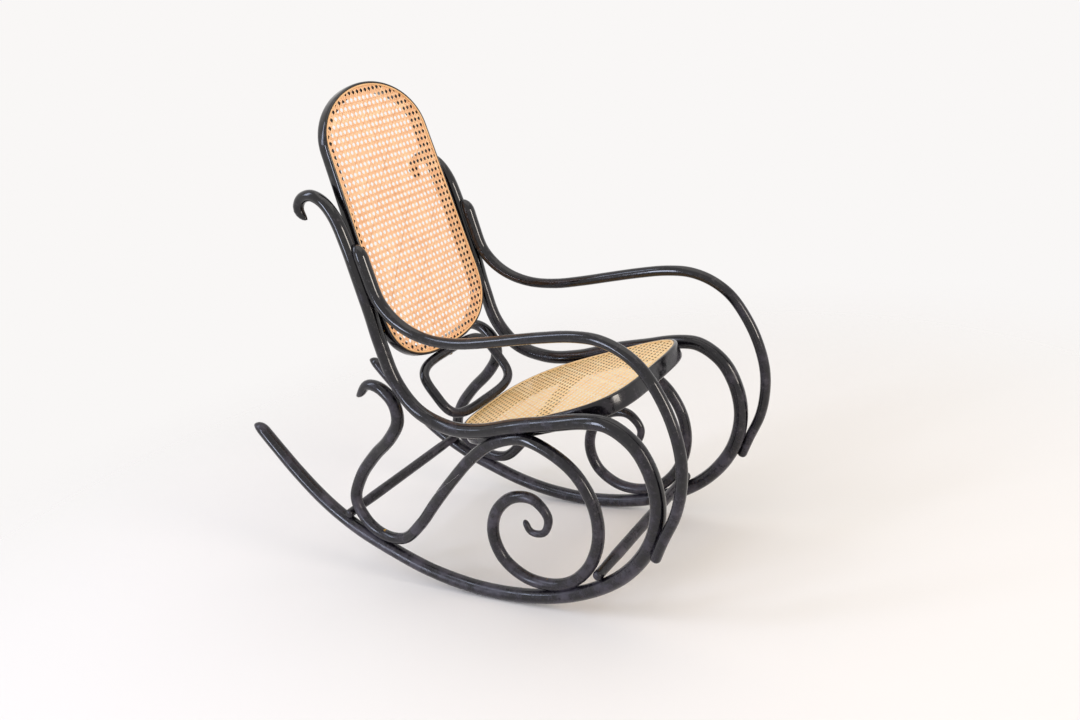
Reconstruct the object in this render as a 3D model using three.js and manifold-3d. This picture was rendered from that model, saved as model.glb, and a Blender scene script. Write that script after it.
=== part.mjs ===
// Bentwood rocking chair: two steam-bent side rods, each a curl, a back post, a seat rail, a front bow and
// a runner in one sweep, joined by stretchers, a seat hoop and a back hoop, with arms, scrolls and cane.
// Millimetres. +Z is up and the sitter faces -Y, so the sitter's left is +X.

import * as THREE from 'three';
import { mergeGeometries, mergeVertices } from 'three/addons/utils/BufferGeometryUtils.js';
import Module from 'manifold-3d';

const wasm = await Module();
wasm.setup();

// Driving sizes of the side frames
const sideDepth = 1100;
const sideHeight = 876;
const railSpacing = 436;
const fit = 0.3;

// How far the chair leans forward when it rests, and how deep its runners are worn flat there
const restLean = 12;
const wornDepth = 1;

// Rods
const sideRodDiameter = 32;
const curlTipDiameter = 22;
const tailTipDiameter = 30;
const curlTaperLength = 220;
const tailTaperLength = 200;
const armRodDiameter = 24;
const armRearDiameter = 31;
const armTaperLength = 340;
const scrollRodDiameter = 28;
const scrollTipDiameter = 15;
const volutePointDiameter = 14;
const scrollTaperLength = 110;
const voluteTaperLength = 240;
const loopRodDiameter = 22;
const rodSides = 8;
const runnerScarfLength = 140;
const scrollScarfLength = 170;
const seatBite = 0.6;
const armFlare = 14;
const armInset = 3;
const armRearBite = 6;
const armFlareCurve = 1.5;

// Back hoop, drawn in its own plane from its widest height
const hoopWidth = 365;
const hoopShoulderWidth = 336;
const hoopWidestDrop = 139;
const hoopShoulderRise = 349;
const hoopCrownRise = 126;
const hoopDepth = 27;
const hoopWoodWidth = 22;
const hoopRim = 5;
const hoopProud = 14;
const hoopLean = 20.6;
const hoopFootRoundness = 2.6;

// Seat hoop, drawn in its own plane from its widest line
const seatRearLength = 248;
const seatFrontLength = 219;
const seatHoopHeight = 38;
const seatWoodWidth = 27;
const seatRim = 7;
const seatRise = 3;
const seatTilt = 5;
const seatRearRoundness = 3;
const seatFrontRoundness = 3.8;
const outlinePoints = 40;

// Cane sheets and the splines that hold them in their rebates
const caneThickness = 1.6;
const canePitch = 42;
const caneBand = 15;
const caneMargin = 10;
const splineWidth = 4;
const splineHeight = 2;

// Loop between the back hoop and the seat hoop
const loopWidth = 272;
const loopRoundness = 4;
const loopRings = 36;

// Stretchers
const stretcherDiameter = 25;
const stretcherEndDiameter = 22;
const stretcherOverhang = 12;
const stretcherNeckLength = 34;
const stretcherSwellLength = 70;
const stretcherSides = 12;
const domeTipShare = 0.4;

// Wood screws
const screwHeadDiameter = 9;
const screwShankDiameter = 5;
const screwHeadDepth = 3;
const screwSink = 1.5;
const screwBite = 12;
const screwSides = 6;
const seatScrewDrop = 8;
const seatScrewSpread = 60;
const backScrewSpread = 35;
const cutOverrun = 2;

const black = { color: 0x17181c, roughness: 0.25, metalness: 0 };
const caneStraw = { color: 0xd9a765, roughness: 0.6, metalness: 0 };
const brass = { color: 0x8d7a4a, roughness: 0.4, metalness: 0.8 };

const sideRodRadius = sideRodDiameter / 2;
const armRadius = armRodDiameter / 2;
const armRearRadius = armRearDiameter / 2;
const scrollRadius = scrollRodDiameter / 2;
const loopRadius = loopRodDiameter / 2;
const stretcherEndRadius = stretcherEndDiameter / 2;
const railHalf = railSpacing / 2;
const hoopHalf = hoopWidth / 2;
const seatHalf = railHalf - sideRodRadius - fit;
const caneDrop = caneThickness + 2 * fit + splineHeight;

// Side rod from the curl's tip down the post, along the rail, round the bow and back along the runner:
// places as shares of the side's depth and height, with the seat's rear end at zero depth.
const sideRodShares = [
  [0.2955, 0.911], [0.309, 0.9395], [0.300, 0.966], [0.2745, 0.980], [0.2455, 0.970], [0.218, 0.936],
  [0.1945, 0.877], [0.171, 0.796], [0.148, 0.7135], [0.1265, 0.629], [0.0945, 0.538], [0.0425, 0.4795],
  [-0.0345, 0.4635], [-0.110, 0.484], [-0.192, 0.5275], [-0.273, 0.564], [-0.338, 0.592], [-0.384, 0.598],
  [-0.434, 0.568], [-0.466, 0.514], [-0.484, 0.440], [-0.481, 0.361], [-0.461, 0.290], [-0.420, 0.214],
  [-0.357, 0.144], [-0.272, 0.084], [-0.1636, 0.0394], [-0.0682, 0.0211], [0.0273, 0.0211],
  [0.1227, 0.0394], [0.212, 0.0665], [0.296, 0.112], [0.375, 0.178], [0.430, 0.235], [0.478, 0.287],
];
const sideRodRings = 3;
const postEndPlace = 10;
const railStartPlace = 14;
const hoopPlace = 8.2;
const seatPlace = 14.1;
const runnerScarfPlace = 29;
const frontStretcherPlace = 23.5;
const rearStretcherPlace = 30.3;
const rearScrollFootPlace = 29.25;
const scrollTopPlace = 14.05;
const frontScrollFootPlace = 24.95;

// Scroll: a rear S and a front circle with a volute, between its places of contact with the side rod
const scrollRearShares = [
  [0.1965, 0.461], [0.171, 0.506], [0.138, 0.508], [0.106, 0.479], [0.098, 0.428], [0.122, 0.368],
  [0.165, 0.303], [0.206, 0.222], [0.219, 0.150], [0.186, 0.098],
];
const scrollRiseShares = [
  [0.086, 0.091], [0.041, 0.154], [0.000, 0.236], [-0.045, 0.322], [-0.095, 0.407], [-0.145, 0.466],
];
const scrollCircleShares = [
  [-0.264, 0.489], [-0.320, 0.451], [-0.359, 0.382], [-0.371, 0.303], [-0.355, 0.215], [-0.316, 0.149],
];
const voluteShares = [
  [-0.214, 0.114], [-0.164, 0.146], [-0.141, 0.205], [-0.148, 0.274], [-0.186, 0.332], [-0.232, 0.345],
  [-0.264, 0.308], [-0.255, 0.262], [-0.227, 0.253], [-0.212, 0.280],
];
const scrollRings = 2;
const scrollBendPlace = 6;
const scrollFootPlace = 10;
const scrollScarfPlace = 14.1;

// Arm between its places of contact with the post and the bow
const armRearPlaces = [6.15, 6.95];
const armShares = [
  [0.128, 0.748], [0.096, 0.710], [0.055, 0.687], [0.005, 0.679], [-0.055, 0.688], [-0.118, 0.710],
  [-0.182, 0.736], [-0.245, 0.761], [-0.305, 0.781], [-0.355, 0.788], [-0.400, 0.777], [-0.441, 0.748],
  [-0.477, 0.696], [-0.505, 0.634], [-0.523, 0.565], [-0.527, 0.497], [-0.521, 0.434],
];
const armFrontPlaces = [20.9, 21.68];
const armRings = 2;

// A path through hand-placed points. Its rings follow the points, so tight curls get more of them.
class RodPath extends THREE.CatmullRomCurve3 {
  constructor(points, ringsPerPoint) {
    super(points);
    this.rings = (points.length - 1) * ringsPerPoint;
  }

  getUtoTmapping(u) {
    return u;
  }
}

// The stretch of a path between two of its rings, for the two halves of a scarf joint
class Stretch extends THREE.Curve {
  constructor(whole, firstRing, lastRing) {
    super();
    this.whole = whole;
    this.from = firstRing / whole.rings;
    this.to = lastRing / whole.rings;
    this.rings = lastRing - firstRing;
  }

  getPoint(t, target) {
    return this.whole.getPoint(this.from + (this.to - this.from) * t, target);
  }

  getTangent(t, target) {
    return this.whole.getTangent(this.from + (this.to - this.from) * t, target);
  }

  getUtoTmapping(u) {
    return u;
  }
}

// Solids
function toSolid(geometry) {
  const bare = geometry.clone();
  bare.deleteAttribute('normal');
  bare.deleteAttribute('uv');
  const merged = mergeVertices(bare);
  const vertProperties = Float32Array.from(merged.attributes.position.array);
  const triVerts = Uint32Array.from(merged.index.array);
  return new wasm.Manifold(new wasm.Mesh({ numProp: 3, vertProperties, triVerts }));
}

function toGeometry(solid) {
  const mesh = solid.getMesh();
  const geometry = new THREE.BufferGeometry();
  geometry.setAttribute('position', new THREE.BufferAttribute(mesh.vertProperties, 3));
  geometry.setIndex(new THREE.BufferAttribute(mesh.triVerts, 1));
  geometry.computeVertexNormals();
  return geometry;
}

function polygon(radius, sides) {
  const corner = radius / Math.cos(Math.PI / sides);
  const points = [];
  for (let i = 0; i < sides; i += 1) {
    const angle = (2 * Math.PI * (i + 0.5)) / sides;
    points.push(new THREE.Vector2(corner * Math.cos(angle), corner * Math.sin(angle)));
  }
  return new THREE.Shape(points);
}

// A rod bent along a path. thicknessAt gives the share of the full diameter at a distance from each end.
function bentRod(path, diameter, thicknessAt) {
  const section = polygon(diameter / 2, rodSides);
  const geometry = new THREE.ExtrudeGeometry(section, { steps: path.rings, extrudePath: path });
  const centres = path.getSpacedPoints(path.rings);
  const reach = [0];
  for (let i = 1; i < centres.length; i += 1) {
    reach.push(reach[i - 1] + centres[i].distanceTo(centres[i - 1]));
  }
  const length = reach[reach.length - 1];
  const position = geometry.attributes.position;
  const corner = new THREE.Vector3();
  for (let i = 0; i < position.count; i += 1) {
    corner.fromBufferAttribute(position, i);
    let ring = 0;
    for (let j = 1; j < centres.length; j += 1) {
      if (corner.distanceToSquared(centres[j]) < corner.distanceToSquared(centres[ring])) ring = j;
    }
    const share = thicknessAt(reach[ring], length - reach[ring]);
    corner.sub(centres[ring]).multiplyScalar(share).add(centres[ring]);
    position.setXYZ(i, corner.x, corner.y, corner.z);
  }
  return geometry;
}

// How a rod thins towards an end, and how a turned end is rounded over
function taper(tipDiameter, diameter, taperLength, distance) {
  const tipShare = tipDiameter / diameter;
  return tipShare + (1 - tipShare) * THREE.MathUtils.smoothstep(distance, 0, taperLength);
}

function dome(radius, distance) {
  const share = 1 - Math.min(distance / radius, 1);
  return Math.max(Math.sqrt(1 - share * share), domeTipShare);
}

// Adds a point one radius in from each end, so that the rings there can round the end over
function withRoundedEnds(points, startRadius, endRadius) {
  const first = points[0].clone().lerp(points[1], startRadius / points[0].distanceTo(points[1]));
  const tail = points[points.length - 1];
  const before = points[points.length - 2];
  const last = tail.clone().lerp(before, endRadius / tail.distanceTo(before));
  return [points[0], first, ...points.slice(1, -1), last, tail];
}

// Places along the side rod, counted in its hand-placed points
function shareOf(place) {
  return place / (sideRodShares.length - 1);
}

function inSide([depthShare, heightShare]) {
  return new THREE.Vector3(railHalf, depthShare * sideDepth, heightShare * sideHeight);
}

// Point beside the side rod, on the inside of its sweep where the distance is positive
function beside(path, place, distance) {
  const along = path.getTangent(shareOf(place));
  const inward = new THREE.Vector3(0, -along.z, along.y).normalize();
  return path.getPoint(shareOf(place)).addScaledVector(inward, distance);
}

// The posts stand closer together than the rails, against the back hoop, and part again along the seat
const postHalf = hoopHalf + sideRodRadius + 2 * fit;

function partingPoint(shares, index, startPlace, endPlace) {
  const point = inSide(shares);
  const share = THREE.MathUtils.smoothstep(index, startPlace, endPlace);
  return point.setX(THREE.MathUtils.lerp(postHalf, railHalf, share));
}

function sideRodPoint(shares, index) {
  return partingPoint(shares, index, postEndPlace, railStartPlace);
}

const sidePath = new RodPath(sideRodShares.map(sideRodPoint), sideRodRings);
const hoopMiddle = sidePath.getPoint(shareOf(hoopPlace));

// Mirrors a path drawn for the sitter's left to the other side
function onSide(points, side) {
  return points.map((point) => new THREE.Vector3(point.x * side, point.y, point.z));
}

// Pieces are kept by name until all cuts are made
const pieces = new Map();

function addPiece(name, finish, geometry) {
  pieces.set(name, { finish, solid: toSolid(geometry) });
}

function cut(name, cutter) {
  const piece = pieces.get(name);
  piece.solid = piece.solid.subtract(cutter);
}

// Frame with X across, Y along a direction in the side plane and Z square to both
function planeFrame(origin, up) {
  const across = new THREE.Vector3(1, 0, 0);
  const out = new THREE.Vector3().crossVectors(across, up).normalize();
  return new THREE.Matrix4().makeBasis(across, up.clone().normalize(), out).setPosition(origin);
}

// Scarf joint: each rod is planed off on its own side of a slope through the joint's middle
function scarf(path, ring, diameter, length, keepsOutside) {
  const share = ring / path.rings;
  const middle = path.getPoint(share);
  const along = path.getTangent(share);
  const inward = new THREE.Vector3(0, -along.z, along.y).normalize();
  const slope = along.clone().multiplyScalar(length).addScaledVector(inward, diameter).normalize();
  const side = keepsOutside ? 1 : -1;
  const box = new THREE.BoxGeometry(2 * diameter, 2 * length, 2 * diameter);
  box.translate(0, 0, -side * (diameter - fit / 2));
  box.applyMatrix4(planeFrame(middle, slope));
  return toSolid(box);
}

function scarfReach(path, ring, length) {
  const spacing = path.getPoint(ring / path.rings).distanceTo(path.getPoint((ring + 1) / path.rings));
  return Math.round(length / 2 / spacing);
}

// Side rods with the runner's rear stretch scarfed on
function addSideRods(side, hand) {
  const path = new RodPath(onSide(sidePath.points, side), sideRodRings);
  const ring = Math.round(runnerScarfPlace * sideRodRings);
  const reach = scarfReach(path, ring, runnerScarfLength);
  const front = bentRod(new Stretch(path, 0, ring + reach), sideRodDiameter, (distance) => (
    taper(curlTipDiameter, sideRodDiameter, curlTaperLength, distance)
  ));
  const rear = bentRod(new Stretch(path, ring - reach, path.rings), sideRodDiameter, (distance, rest) => (
    taper(tailTipDiameter, sideRodDiameter, tailTaperLength, rest)
  ));
  addPiece(`side_rod_${hand}`, black, front);
  addPiece(`runner_tail_${hand}`, black, rear);
  cut(`side_rod_${hand}`, scarf(path, ring, sideRodDiameter, runnerScarfLength, true));
  cut(`runner_tail_${hand}`, scarf(path, ring, sideRodDiameter, runnerScarfLength, false));
}

// Rods that meet are filed flat where they touch: each is cut back from the side rod by the fit
function fileAgainstSideRod(side, names) {
  const path = new RodPath(onSide(sidePath.points, side), sideRodRings);
  const room = toSolid(bentRod(path, sideRodDiameter + 2 * fit, (distance) => (
    taper(curlTipDiameter, sideRodDiameter, curlTaperLength, distance)
  )));
  names.forEach((name) => cut(name, room));
}

// Scrolls, one rod behind and one in front of a scarf on the rising stretch
const scrollSpacing = sideRodRadius + scrollRadius + fit - seatBite;

function scrollRearPoint(shares, index) {
  return partingPoint(shares, index, scrollBendPlace, scrollFootPlace);
}

const scrollPoints = [
  ...scrollRearShares.map(scrollRearPoint),
  beside(sidePath, rearScrollFootPlace, scrollSpacing),
  ...scrollRiseShares.map(inSide),
  beside(sidePath, scrollTopPlace, scrollSpacing),
  ...scrollCircleShares.map(inSide),
  beside(sidePath, frontScrollFootPlace, scrollSpacing),
  ...voluteShares.map(inSide),
];

function addScroll(side, hand) {
  const path = new RodPath(onSide(scrollPoints, side), scrollRings);
  const ring = Math.round(scrollScarfPlace * scrollRings);
  const reach = scarfReach(path, ring, scrollScarfLength);
  const rear = bentRod(new Stretch(path, 0, ring + reach), scrollRodDiameter, (distance) => (
    taper(scrollTipDiameter, scrollRodDiameter, scrollTaperLength, distance)
  ));
  const front = bentRod(new Stretch(path, ring - reach, path.rings), scrollRodDiameter, (distance, rest) => (
    taper(volutePointDiameter, scrollRodDiameter, voluteTaperLength, rest)
  ));
  addPiece(`rear_scroll_${hand}`, black, rear);
  addPiece(`front_scroll_${hand}`, black, front);
  cut(`rear_scroll_${hand}`, scarf(path, ring, scrollRodDiameter, scrollScarfLength, true));
  cut(`front_scroll_${hand}`, scarf(path, ring, scrollRodDiameter, scrollScarfLength, false));
}

// Arms, in front of the post at the rear, and in front of the bow and a little outside it at their foot
const armSpacing = sideRodRadius + armRadius + fit - seatBite;
const armFootSpacing = Math.sqrt(armSpacing * armSpacing - armFlare * armFlare);
const armRearSpacing = sideRodRadius + armRearRadius + fit - armRearBite;
const armRear = armRearPlaces.map((place) => beside(sidePath, place, -armRearSpacing));
const armFront = armFrontPlaces.map((place) => beside(sidePath, place, -armFootSpacing));
armRear.forEach((point) => point.setX(point.x - armInset));
armFront.forEach((point) => point.setX(point.x + armFlare));

function armPoint(shares, index) {
  const point = inSide(shares);
  const along = (index + 1) / (armShares.length + 1);
  point.x = THREE.MathUtils.lerp(armRear[armRear.length - 1].x, armFront[0].x, along ** armFlareCurve);
  return point;
}

const armHandPoints = [...armRear, ...armShares.map(armPoint), ...armFront];
const armPoints = withRoundedEnds(armHandPoints, armRearRadius, armRadius);

function addArm(side, hand) {
  const path = new RodPath(onSide(armPoints, side), armRings);
  addPiece(`arm_${hand}`, black, bentRod(path, armRodDiameter, (distance, rest) => (
    taper(armRearDiameter, armRodDiameter, armTaperLength, distance)
      * Math.min(dome(armRearRadius, distance), dome(armRadius, rest))
  )));
}

// Outlines. A rounded quarter follows a superellipse; a larger roundness is squarer.
function rounded(halfWidth, halfLength, roundness, angle) {
  const across = Math.cos(angle);
  const along = Math.sin(angle);
  return new THREE.Vector2(
    halfWidth * Math.sign(across) * Math.abs(across) ** (2 / roundness),
    halfLength * Math.sign(along) * Math.abs(along) ** (2 / roundness),
  );
}

function seatOutline(inset) {
  const points = [];
  for (let i = 0; i < outlinePoints; i += 1) {
    const angle = (2 * Math.PI * i) / outlinePoints;
    const isRear = i <= outlinePoints / 2;
    const length = isRear ? seatRearLength : seatFrontLength;
    const roundness = isRear ? seatRearRoundness : seatFrontRoundness;
    points.push(rounded(seatHalf - inset, length - inset, roundness, angle));
  }
  return points;
}

function hoopOutline(inset) {
  const points = [];
  for (let i = 0; i <= outlinePoints / 2; i += 1) {
    const angle = (2 * Math.PI * i) / outlinePoints;
    const crown = rounded(hoopShoulderWidth / 2 - inset, hoopCrownRise - inset, 2, angle);
    points.push(new THREE.Vector2(crown.x, crown.y + hoopShoulderRise));
  }
  for (let i = outlinePoints / 2; i <= outlinePoints; i += 1) {
    const angle = (2 * Math.PI * i) / outlinePoints;
    points.push(rounded(hoopHalf - inset, hoopWidestDrop - inset, hoopFootRoundness, angle));
  }
  return points;
}

function ring(outer, inner, height, base) {
  const shape = new THREE.Shape(outer);
  shape.holes.push(new THREE.Path(inner));
  const geometry = new THREE.ExtrudeGeometry(shape, { depth: height, bevelEnabled: false });
  return geometry.translate(0, 0, base);
}

// True where a point lies inside an outline, by counting the edges that a line to one side crosses
function isInside(outline, x, y) {
  let inside = false;
  outline.forEach((a, i) => {
    const b = outline[(i + 1) % outline.length];
    const crosses = (a.y > y) !== (b.y > y);
    if (crosses && x < a.x + ((y - a.y) / (b.y - a.y)) * (b.x - a.x)) inside = !inside;
  });
  return inside;
}

// Gaps of a cane sheet: square posts in a regular grid, kept where they clear its plain margin
function caneGaps(limit, base) {
  const side = canePitch - caneBand;
  const reach = Math.max(...limit.flatMap((point) => [Math.abs(point.x), Math.abs(point.y)]));
  const count = Math.ceil(reach / canePitch);
  const gaps = [];
  for (let row = -count; row <= count; row += 1) {
    for (let column = -count; column <= count; column += 1) {
      const gap = new THREE.BoxGeometry(side, side, caneThickness + 2 * cutOverrun);
      gap.translate(column * canePitch, row * canePitch, base + caneThickness / 2);
      const corners = gap.attributes.position;
      let clear = true;
      for (let i = 0; i < corners.count; i += 1) clear &&= isInside(limit, corners.getX(i), corners.getY(i));
      if (clear) gaps.push(gap);
    }
  }
  return mergeGeometries(gaps);
}

// A hoop with its face at zero height, a rebate for the cane and an open middle
function addCanedHoop(name, outlineAt, depth, woodWidth, rim, frame) {
  const wood = ring(outlineAt(0), outlineAt(woodWidth), depth, -depth);
  const rebate = ring(outlineAt(rim), outlineAt(woodWidth + cutOverrun), depth, -caneDrop);
  addPiece(`${name}_hoop`, black, wood.applyMatrix4(frame));
  cut(`${name}_hoop`, toSolid(rebate.applyMatrix4(frame)));
  const sheetInset = rim + fit;
  const sheetBase = fit - caneDrop;
  const sheet = new THREE.ExtrudeGeometry(new THREE.Shape(outlineAt(sheetInset)), {
    depth: caneThickness,
    bevelEnabled: false,
  });
  sheet.translate(0, 0, sheetBase);
  addPiece(`${name}_cane`, caneStraw, sheet.applyMatrix4(frame));
  const gaps = caneGaps(outlineAt(sheetInset + caneMargin), sheetBase);
  cut(`${name}_cane`, toSolid(gaps.applyMatrix4(frame)));
  const spline = ring(
    outlineAt(sheetInset),
    outlineAt(sheetInset + splineWidth),
    splineHeight,
    sheetBase + caneThickness + fit,
  );
  addPiece(`${name}_spline`, caneStraw, spline.applyMatrix4(frame));
}

// The space that a hoop takes up with the fit around it, for what is filed to lie against it
function roomOfHoop(outlineAt, depth, woodWidth, frame) {
  const room = ring(outlineAt(-fit), outlineAt(woodWidth + fit), depth + 2 * fit, -depth - fit);
  return toSolid(room.applyMatrix4(frame));
}

// Back hoop, between the posts and standing a little in front of their middles
const backLean = THREE.MathUtils.degToRad(hoopLean);
const backUp = new THREE.Vector3(0, Math.sin(backLean), Math.cos(backLean));
const backFront = new THREE.Vector3(0, -Math.cos(backLean), Math.sin(backLean));
const backOrigin = new THREE.Vector3(0, hoopMiddle.y, hoopMiddle.z).addScaledVector(backFront, hoopProud);
const backFrame = planeFrame(backOrigin, backUp);

// Seat hoop, between the rails and tilted a little more than they rise
const seatRail = sidePath.getPoint(shareOf(seatPlace));
const railRun = sidePath.getTangent(shareOf(seatPlace));
const seatSlope = Math.atan2(railRun.z, -railRun.y) + THREE.MathUtils.degToRad(seatTilt);
const seatBack = new THREE.Vector3(0, Math.cos(seatSlope), -Math.sin(seatSlope));
const seatUp = new THREE.Vector3(0, Math.sin(seatSlope), Math.cos(seatSlope));
const seatOrigin = new THREE.Vector3(0, seatRail.y, seatRail.z + seatRise);
const seatFrame = planeFrame(seatOrigin, seatBack);

addSideRods(1, 'left');
addSideRods(-1, 'right');
addScroll(1, 'left');
addScroll(-1, 'right');
addArm(1, 'left');
addArm(-1, 'right');
addCanedHoop('back', hoopOutline, hoopDepth, hoopWoodWidth, hoopRim, backFrame);
addCanedHoop('seat', seatOutline, seatHoopHeight, seatWoodWidth, seatRim, seatFrame);

// Loop: a bent ring between the back hoop's foot and the seat hoop's rear rim, its ends meeting at the foot
const loopTop = backOrigin.clone()
  .addScaledVector(backUp, -(hoopWidestDrop + loopRadius + fit))
  .addScaledVector(backFront, -hoopDepth / 2);
const loopFoot = seatOrigin.clone()
  .addScaledVector(seatBack, seatRearLength - seatRim / 2)
  .addScaledVector(seatUp, loopRadius + fit);
const loopUp = loopTop.clone().sub(loopFoot).normalize();
const loopHeight = loopTop.distanceTo(loopFoot);

function addLoop() {
  const points = [];
  const middle = loopTop.clone().add(loopFoot).divideScalar(2);
  const across = new THREE.Vector3(1, 0, 0);
  const halfWidth = (loopWidth - loopRodDiameter) / 2;
  const start = rounded(halfWidth, loopHeight / 2, loopRoundness, -Math.PI / 2).x + fit / 2;
  for (let i = 0; i <= loopRings; i += 1) {
    const angle = -Math.PI / 2 + (2 * Math.PI * i) / loopRings;
    const place = rounded(halfWidth, loopHeight / 2, loopRoundness, angle);
    if (i === 0) place.x = start;
    if (i === loopRings) place.x = -start;
    points.push(middle.clone().addScaledVector(across, place.x).addScaledVector(loopUp, place.y));
  }
  addPiece('back_loop', black, bentRod(new RodPath(points, 1), loopRodDiameter, () => 1));
}

addLoop();
cut('back_loop', roomOfHoop(hoopOutline, hoopDepth, hoopWoodWidth, backFrame));
cut('back_loop', roomOfHoop(seatOutline, seatHoopHeight, seatWoodWidth, seatFrame));

// Stretchers: turned rods lying on the runners, thickest in the middle, with rounded ends
function addStretcher(name, place) {
  const half = railHalf + stretcherOverhang;
  const neck = half - stretcherNeckLength;
  const swell = neck - stretcherSwellLength;
  const end = stretcherEndRadius;
  const full = stretcherDiameter / 2;
  const halfProfile = [
    [end * domeTipShare, half],
    [end * Math.sqrt(1 - domeTipShare * domeTipShare), half - end / 2],
    [end, half - end],
    [end, neck],
    [full, swell],
  ];
  const upper = halfProfile.map(([radius, x]) => new THREE.Vector2(radius, x));
  const lower = halfProfile.map(([radius, x]) => new THREE.Vector2(radius, -x)).reverse();
  const profile = [new THREE.Vector2(0, half), ...upper, ...lower, new THREE.Vector2(0, -half)].reverse();
  const geometry = new THREE.LatheGeometry(profile, stretcherSides, Math.PI / stretcherSides);
  const flat = end * Math.cos(Math.PI / stretcherSides);
  const centre = beside(sidePath, place, sideRodRadius + flat + fit);
  const inward = centre.clone().sub(sidePath.getPoint(shareOf(place)));
  geometry.rotateZ(-Math.PI / 2);
  geometry.rotateX(Math.atan2(inward.z, inward.y));
  geometry.translate(0, centre.y, centre.z);
  addPiece(name, black, geometry);
  return centre;
}

addStretcher('front_stretcher', frontStretcherPlace);
addStretcher('rear_stretcher', rearStretcherPlace);

// Wood screws with their heads sunk in the hidden side of the first piece they hold
function screwShape(headRadius, shankRadius, length, rise) {
  const profile = [
    new THREE.Vector2(0, -length),
    new THREE.Vector2(shankRadius, -length),
    new THREE.Vector2(shankRadius, -screwHeadDepth),
    new THREE.Vector2(headRadius, 0),
  ];
  if (rise > 0) profile.push(new THREE.Vector2(headRadius, rise));
  profile.push(new THREE.Vector2(0, rise));
  return new THREE.LatheGeometry(profile, screwSides);
}

// Sets a screw, its head at one point and aimed at another, into the pieces that it passes through
function drive(name, { from, to, length, through }) {
  const head = screwHeadDiameter / 2;
  const shank = screwShankDiameter / 2;
  const aim = to.clone().sub(from).normalize();
  const turn = new THREE.Quaternion().setFromUnitVectors(new THREE.Vector3(0, -1, 0), aim);
  const start = from.clone().addScaledVector(aim, screwSink);
  const place = new THREE.Matrix4().makeRotationFromQuaternion(turn).setPosition(start);
  const room = screwShape(head + fit, shank + fit, length + fit, screwSink + cutOverrun);
  room.applyMatrix4(place);
  through.forEach((piece) => cut(piece, toSolid(room)));
  addPiece(name, brass, screwShape(head, shank, length, 0).applyMatrix4(place));
}

// A screw square through one rod into the next one
function throughRod(centre, next, rodRadius, through) {
  const away = centre.clone().sub(next).normalize();
  const from = centre.clone().addScaledVector(away, rodRadius);
  return { from, to: next, length: 2 * rodRadius - screwSink + screwBite, through };
}

const acrossPieces = ['back_hoop', 'seat_hoop', 'front_stretcher', 'rear_stretcher'];
fileAgainstSideRod(1, ['rear_scroll_left', 'front_scroll_left', 'arm_left', ...acrossPieces]);
fileAgainstSideRod(-1, ['rear_scroll_right', 'front_scroll_right', 'arm_right', ...acrossPieces]);

function atSide(point, side) {
  return new THREE.Vector3(point.x * side, point.y, point.z);
}

function sideRodAt(place, side) {
  return atSide(sidePath.getPoint(shareOf(place)), side);
}

// A screw from a hoop's inner wall out into the rod beside it
function fromHoop(hoop, hoopWall, woodWidth, middle, side, hand) {
  const from = middle.clone().setX((hoopWall - woodWidth) * side);
  const to = middle.clone().setX(railHalf * side);
  return { from, to, length: woodWidth - screwSink + screwBite, through: [hoop, `side_rod_${hand}`] };
}

function addScrews(side, hand) {
  [['rear', armRear, armRearPlaces], ['front', armFront, armFrontPlaces]].forEach(([end, points, places]) => {
    const middle = atSide(points[0].clone().add(points[1]).divideScalar(2), side);
    const place = (places[0] + places[1]) / 2;
    const through = [`arm_${hand}`, `side_rod_${hand}`];
    drive(`arm_screw_${end}_${hand}`, throughRod(sideRodAt(place, side), middle, sideRodRadius, through));
  });
  [
    ['foot', rearScrollFootPlace, `rear_scroll_${hand}`],
    ['top', scrollTopPlace, `front_scroll_${hand}`],
    ['circle', frontScrollFootPlace, `front_scroll_${hand}`],
  ].forEach(([end, place, scroll]) => {
    const middle = atSide(beside(sidePath, place, scrollSpacing), side);
    const through = [scroll, `side_rod_${hand}`, `runner_tail_${hand}`];
    drive(`scroll_screw_${end}_${hand}`, throughRod(middle, sideRodAt(place, side), scrollRadius, through));
  });
  [['front', frontStretcherPlace], ['rear', rearStretcherPlace]].forEach(([end, place]) => {
    const next = atSide(beside(sidePath, place, sideRodRadius), side);
    const through = [`side_rod_${hand}`, `runner_tail_${hand}`, `${end}_stretcher`];
    drive(`stretcher_screw_${end}_${hand}`, throughRod(sideRodAt(place, side), next, sideRodRadius, through));
  });
  [['rear', seatScrewSpread], ['front', -seatScrewSpread]].forEach(([end, along]) => {
    const middle = seatOrigin.clone().addScaledVector(seatBack, along);
    middle.addScaledVector(seatUp, -seatScrewDrop);
    drive(`seat_screw_${end}_${hand}`, fromHoop('seat_hoop', seatHalf, seatWoodWidth, middle, side, hand));
  });
  [['upper', backScrewSpread], ['lower', -backScrewSpread]].forEach(([end, along]) => {
    const middle = backOrigin.clone().addScaledVector(backUp, along);
    middle.addScaledVector(backFront, -hoopDepth / 2);
    drive(`back_screw_${end}_${hand}`, fromHoop('back_hoop', hoopHalf, hoopWoodWidth, middle, side, hand));
  });
}

addScrews(1, 'left');
addScrews(-1, 'right');
const hoopFoot = loopTop.clone().addScaledVector(backUp, hoopWoodWidth);
drive('loop_screw', throughRod(loopTop, hoopFoot, loopRadius, ['back_loop', 'back_hoop']));

// The chair at rest: it leans forward until its weight stands over its runners, which are worn flat there
for (const piece of pieces.values()) piece.solid = piece.solid.rotate([restLean, 0, 0]);
const lowest = Math.min(...[...pieces.values()].map(({ solid }) => solid.boundingBox().min[2]));
const worn = new THREE.BoxGeometry(2 * railSpacing, 2 * sideDepth, 2 * wornDepth);
worn.translate(0, 0, lowest);
cut('side_rod_left', toSolid(worn));
cut('side_rod_right', toSolid(worn));

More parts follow.
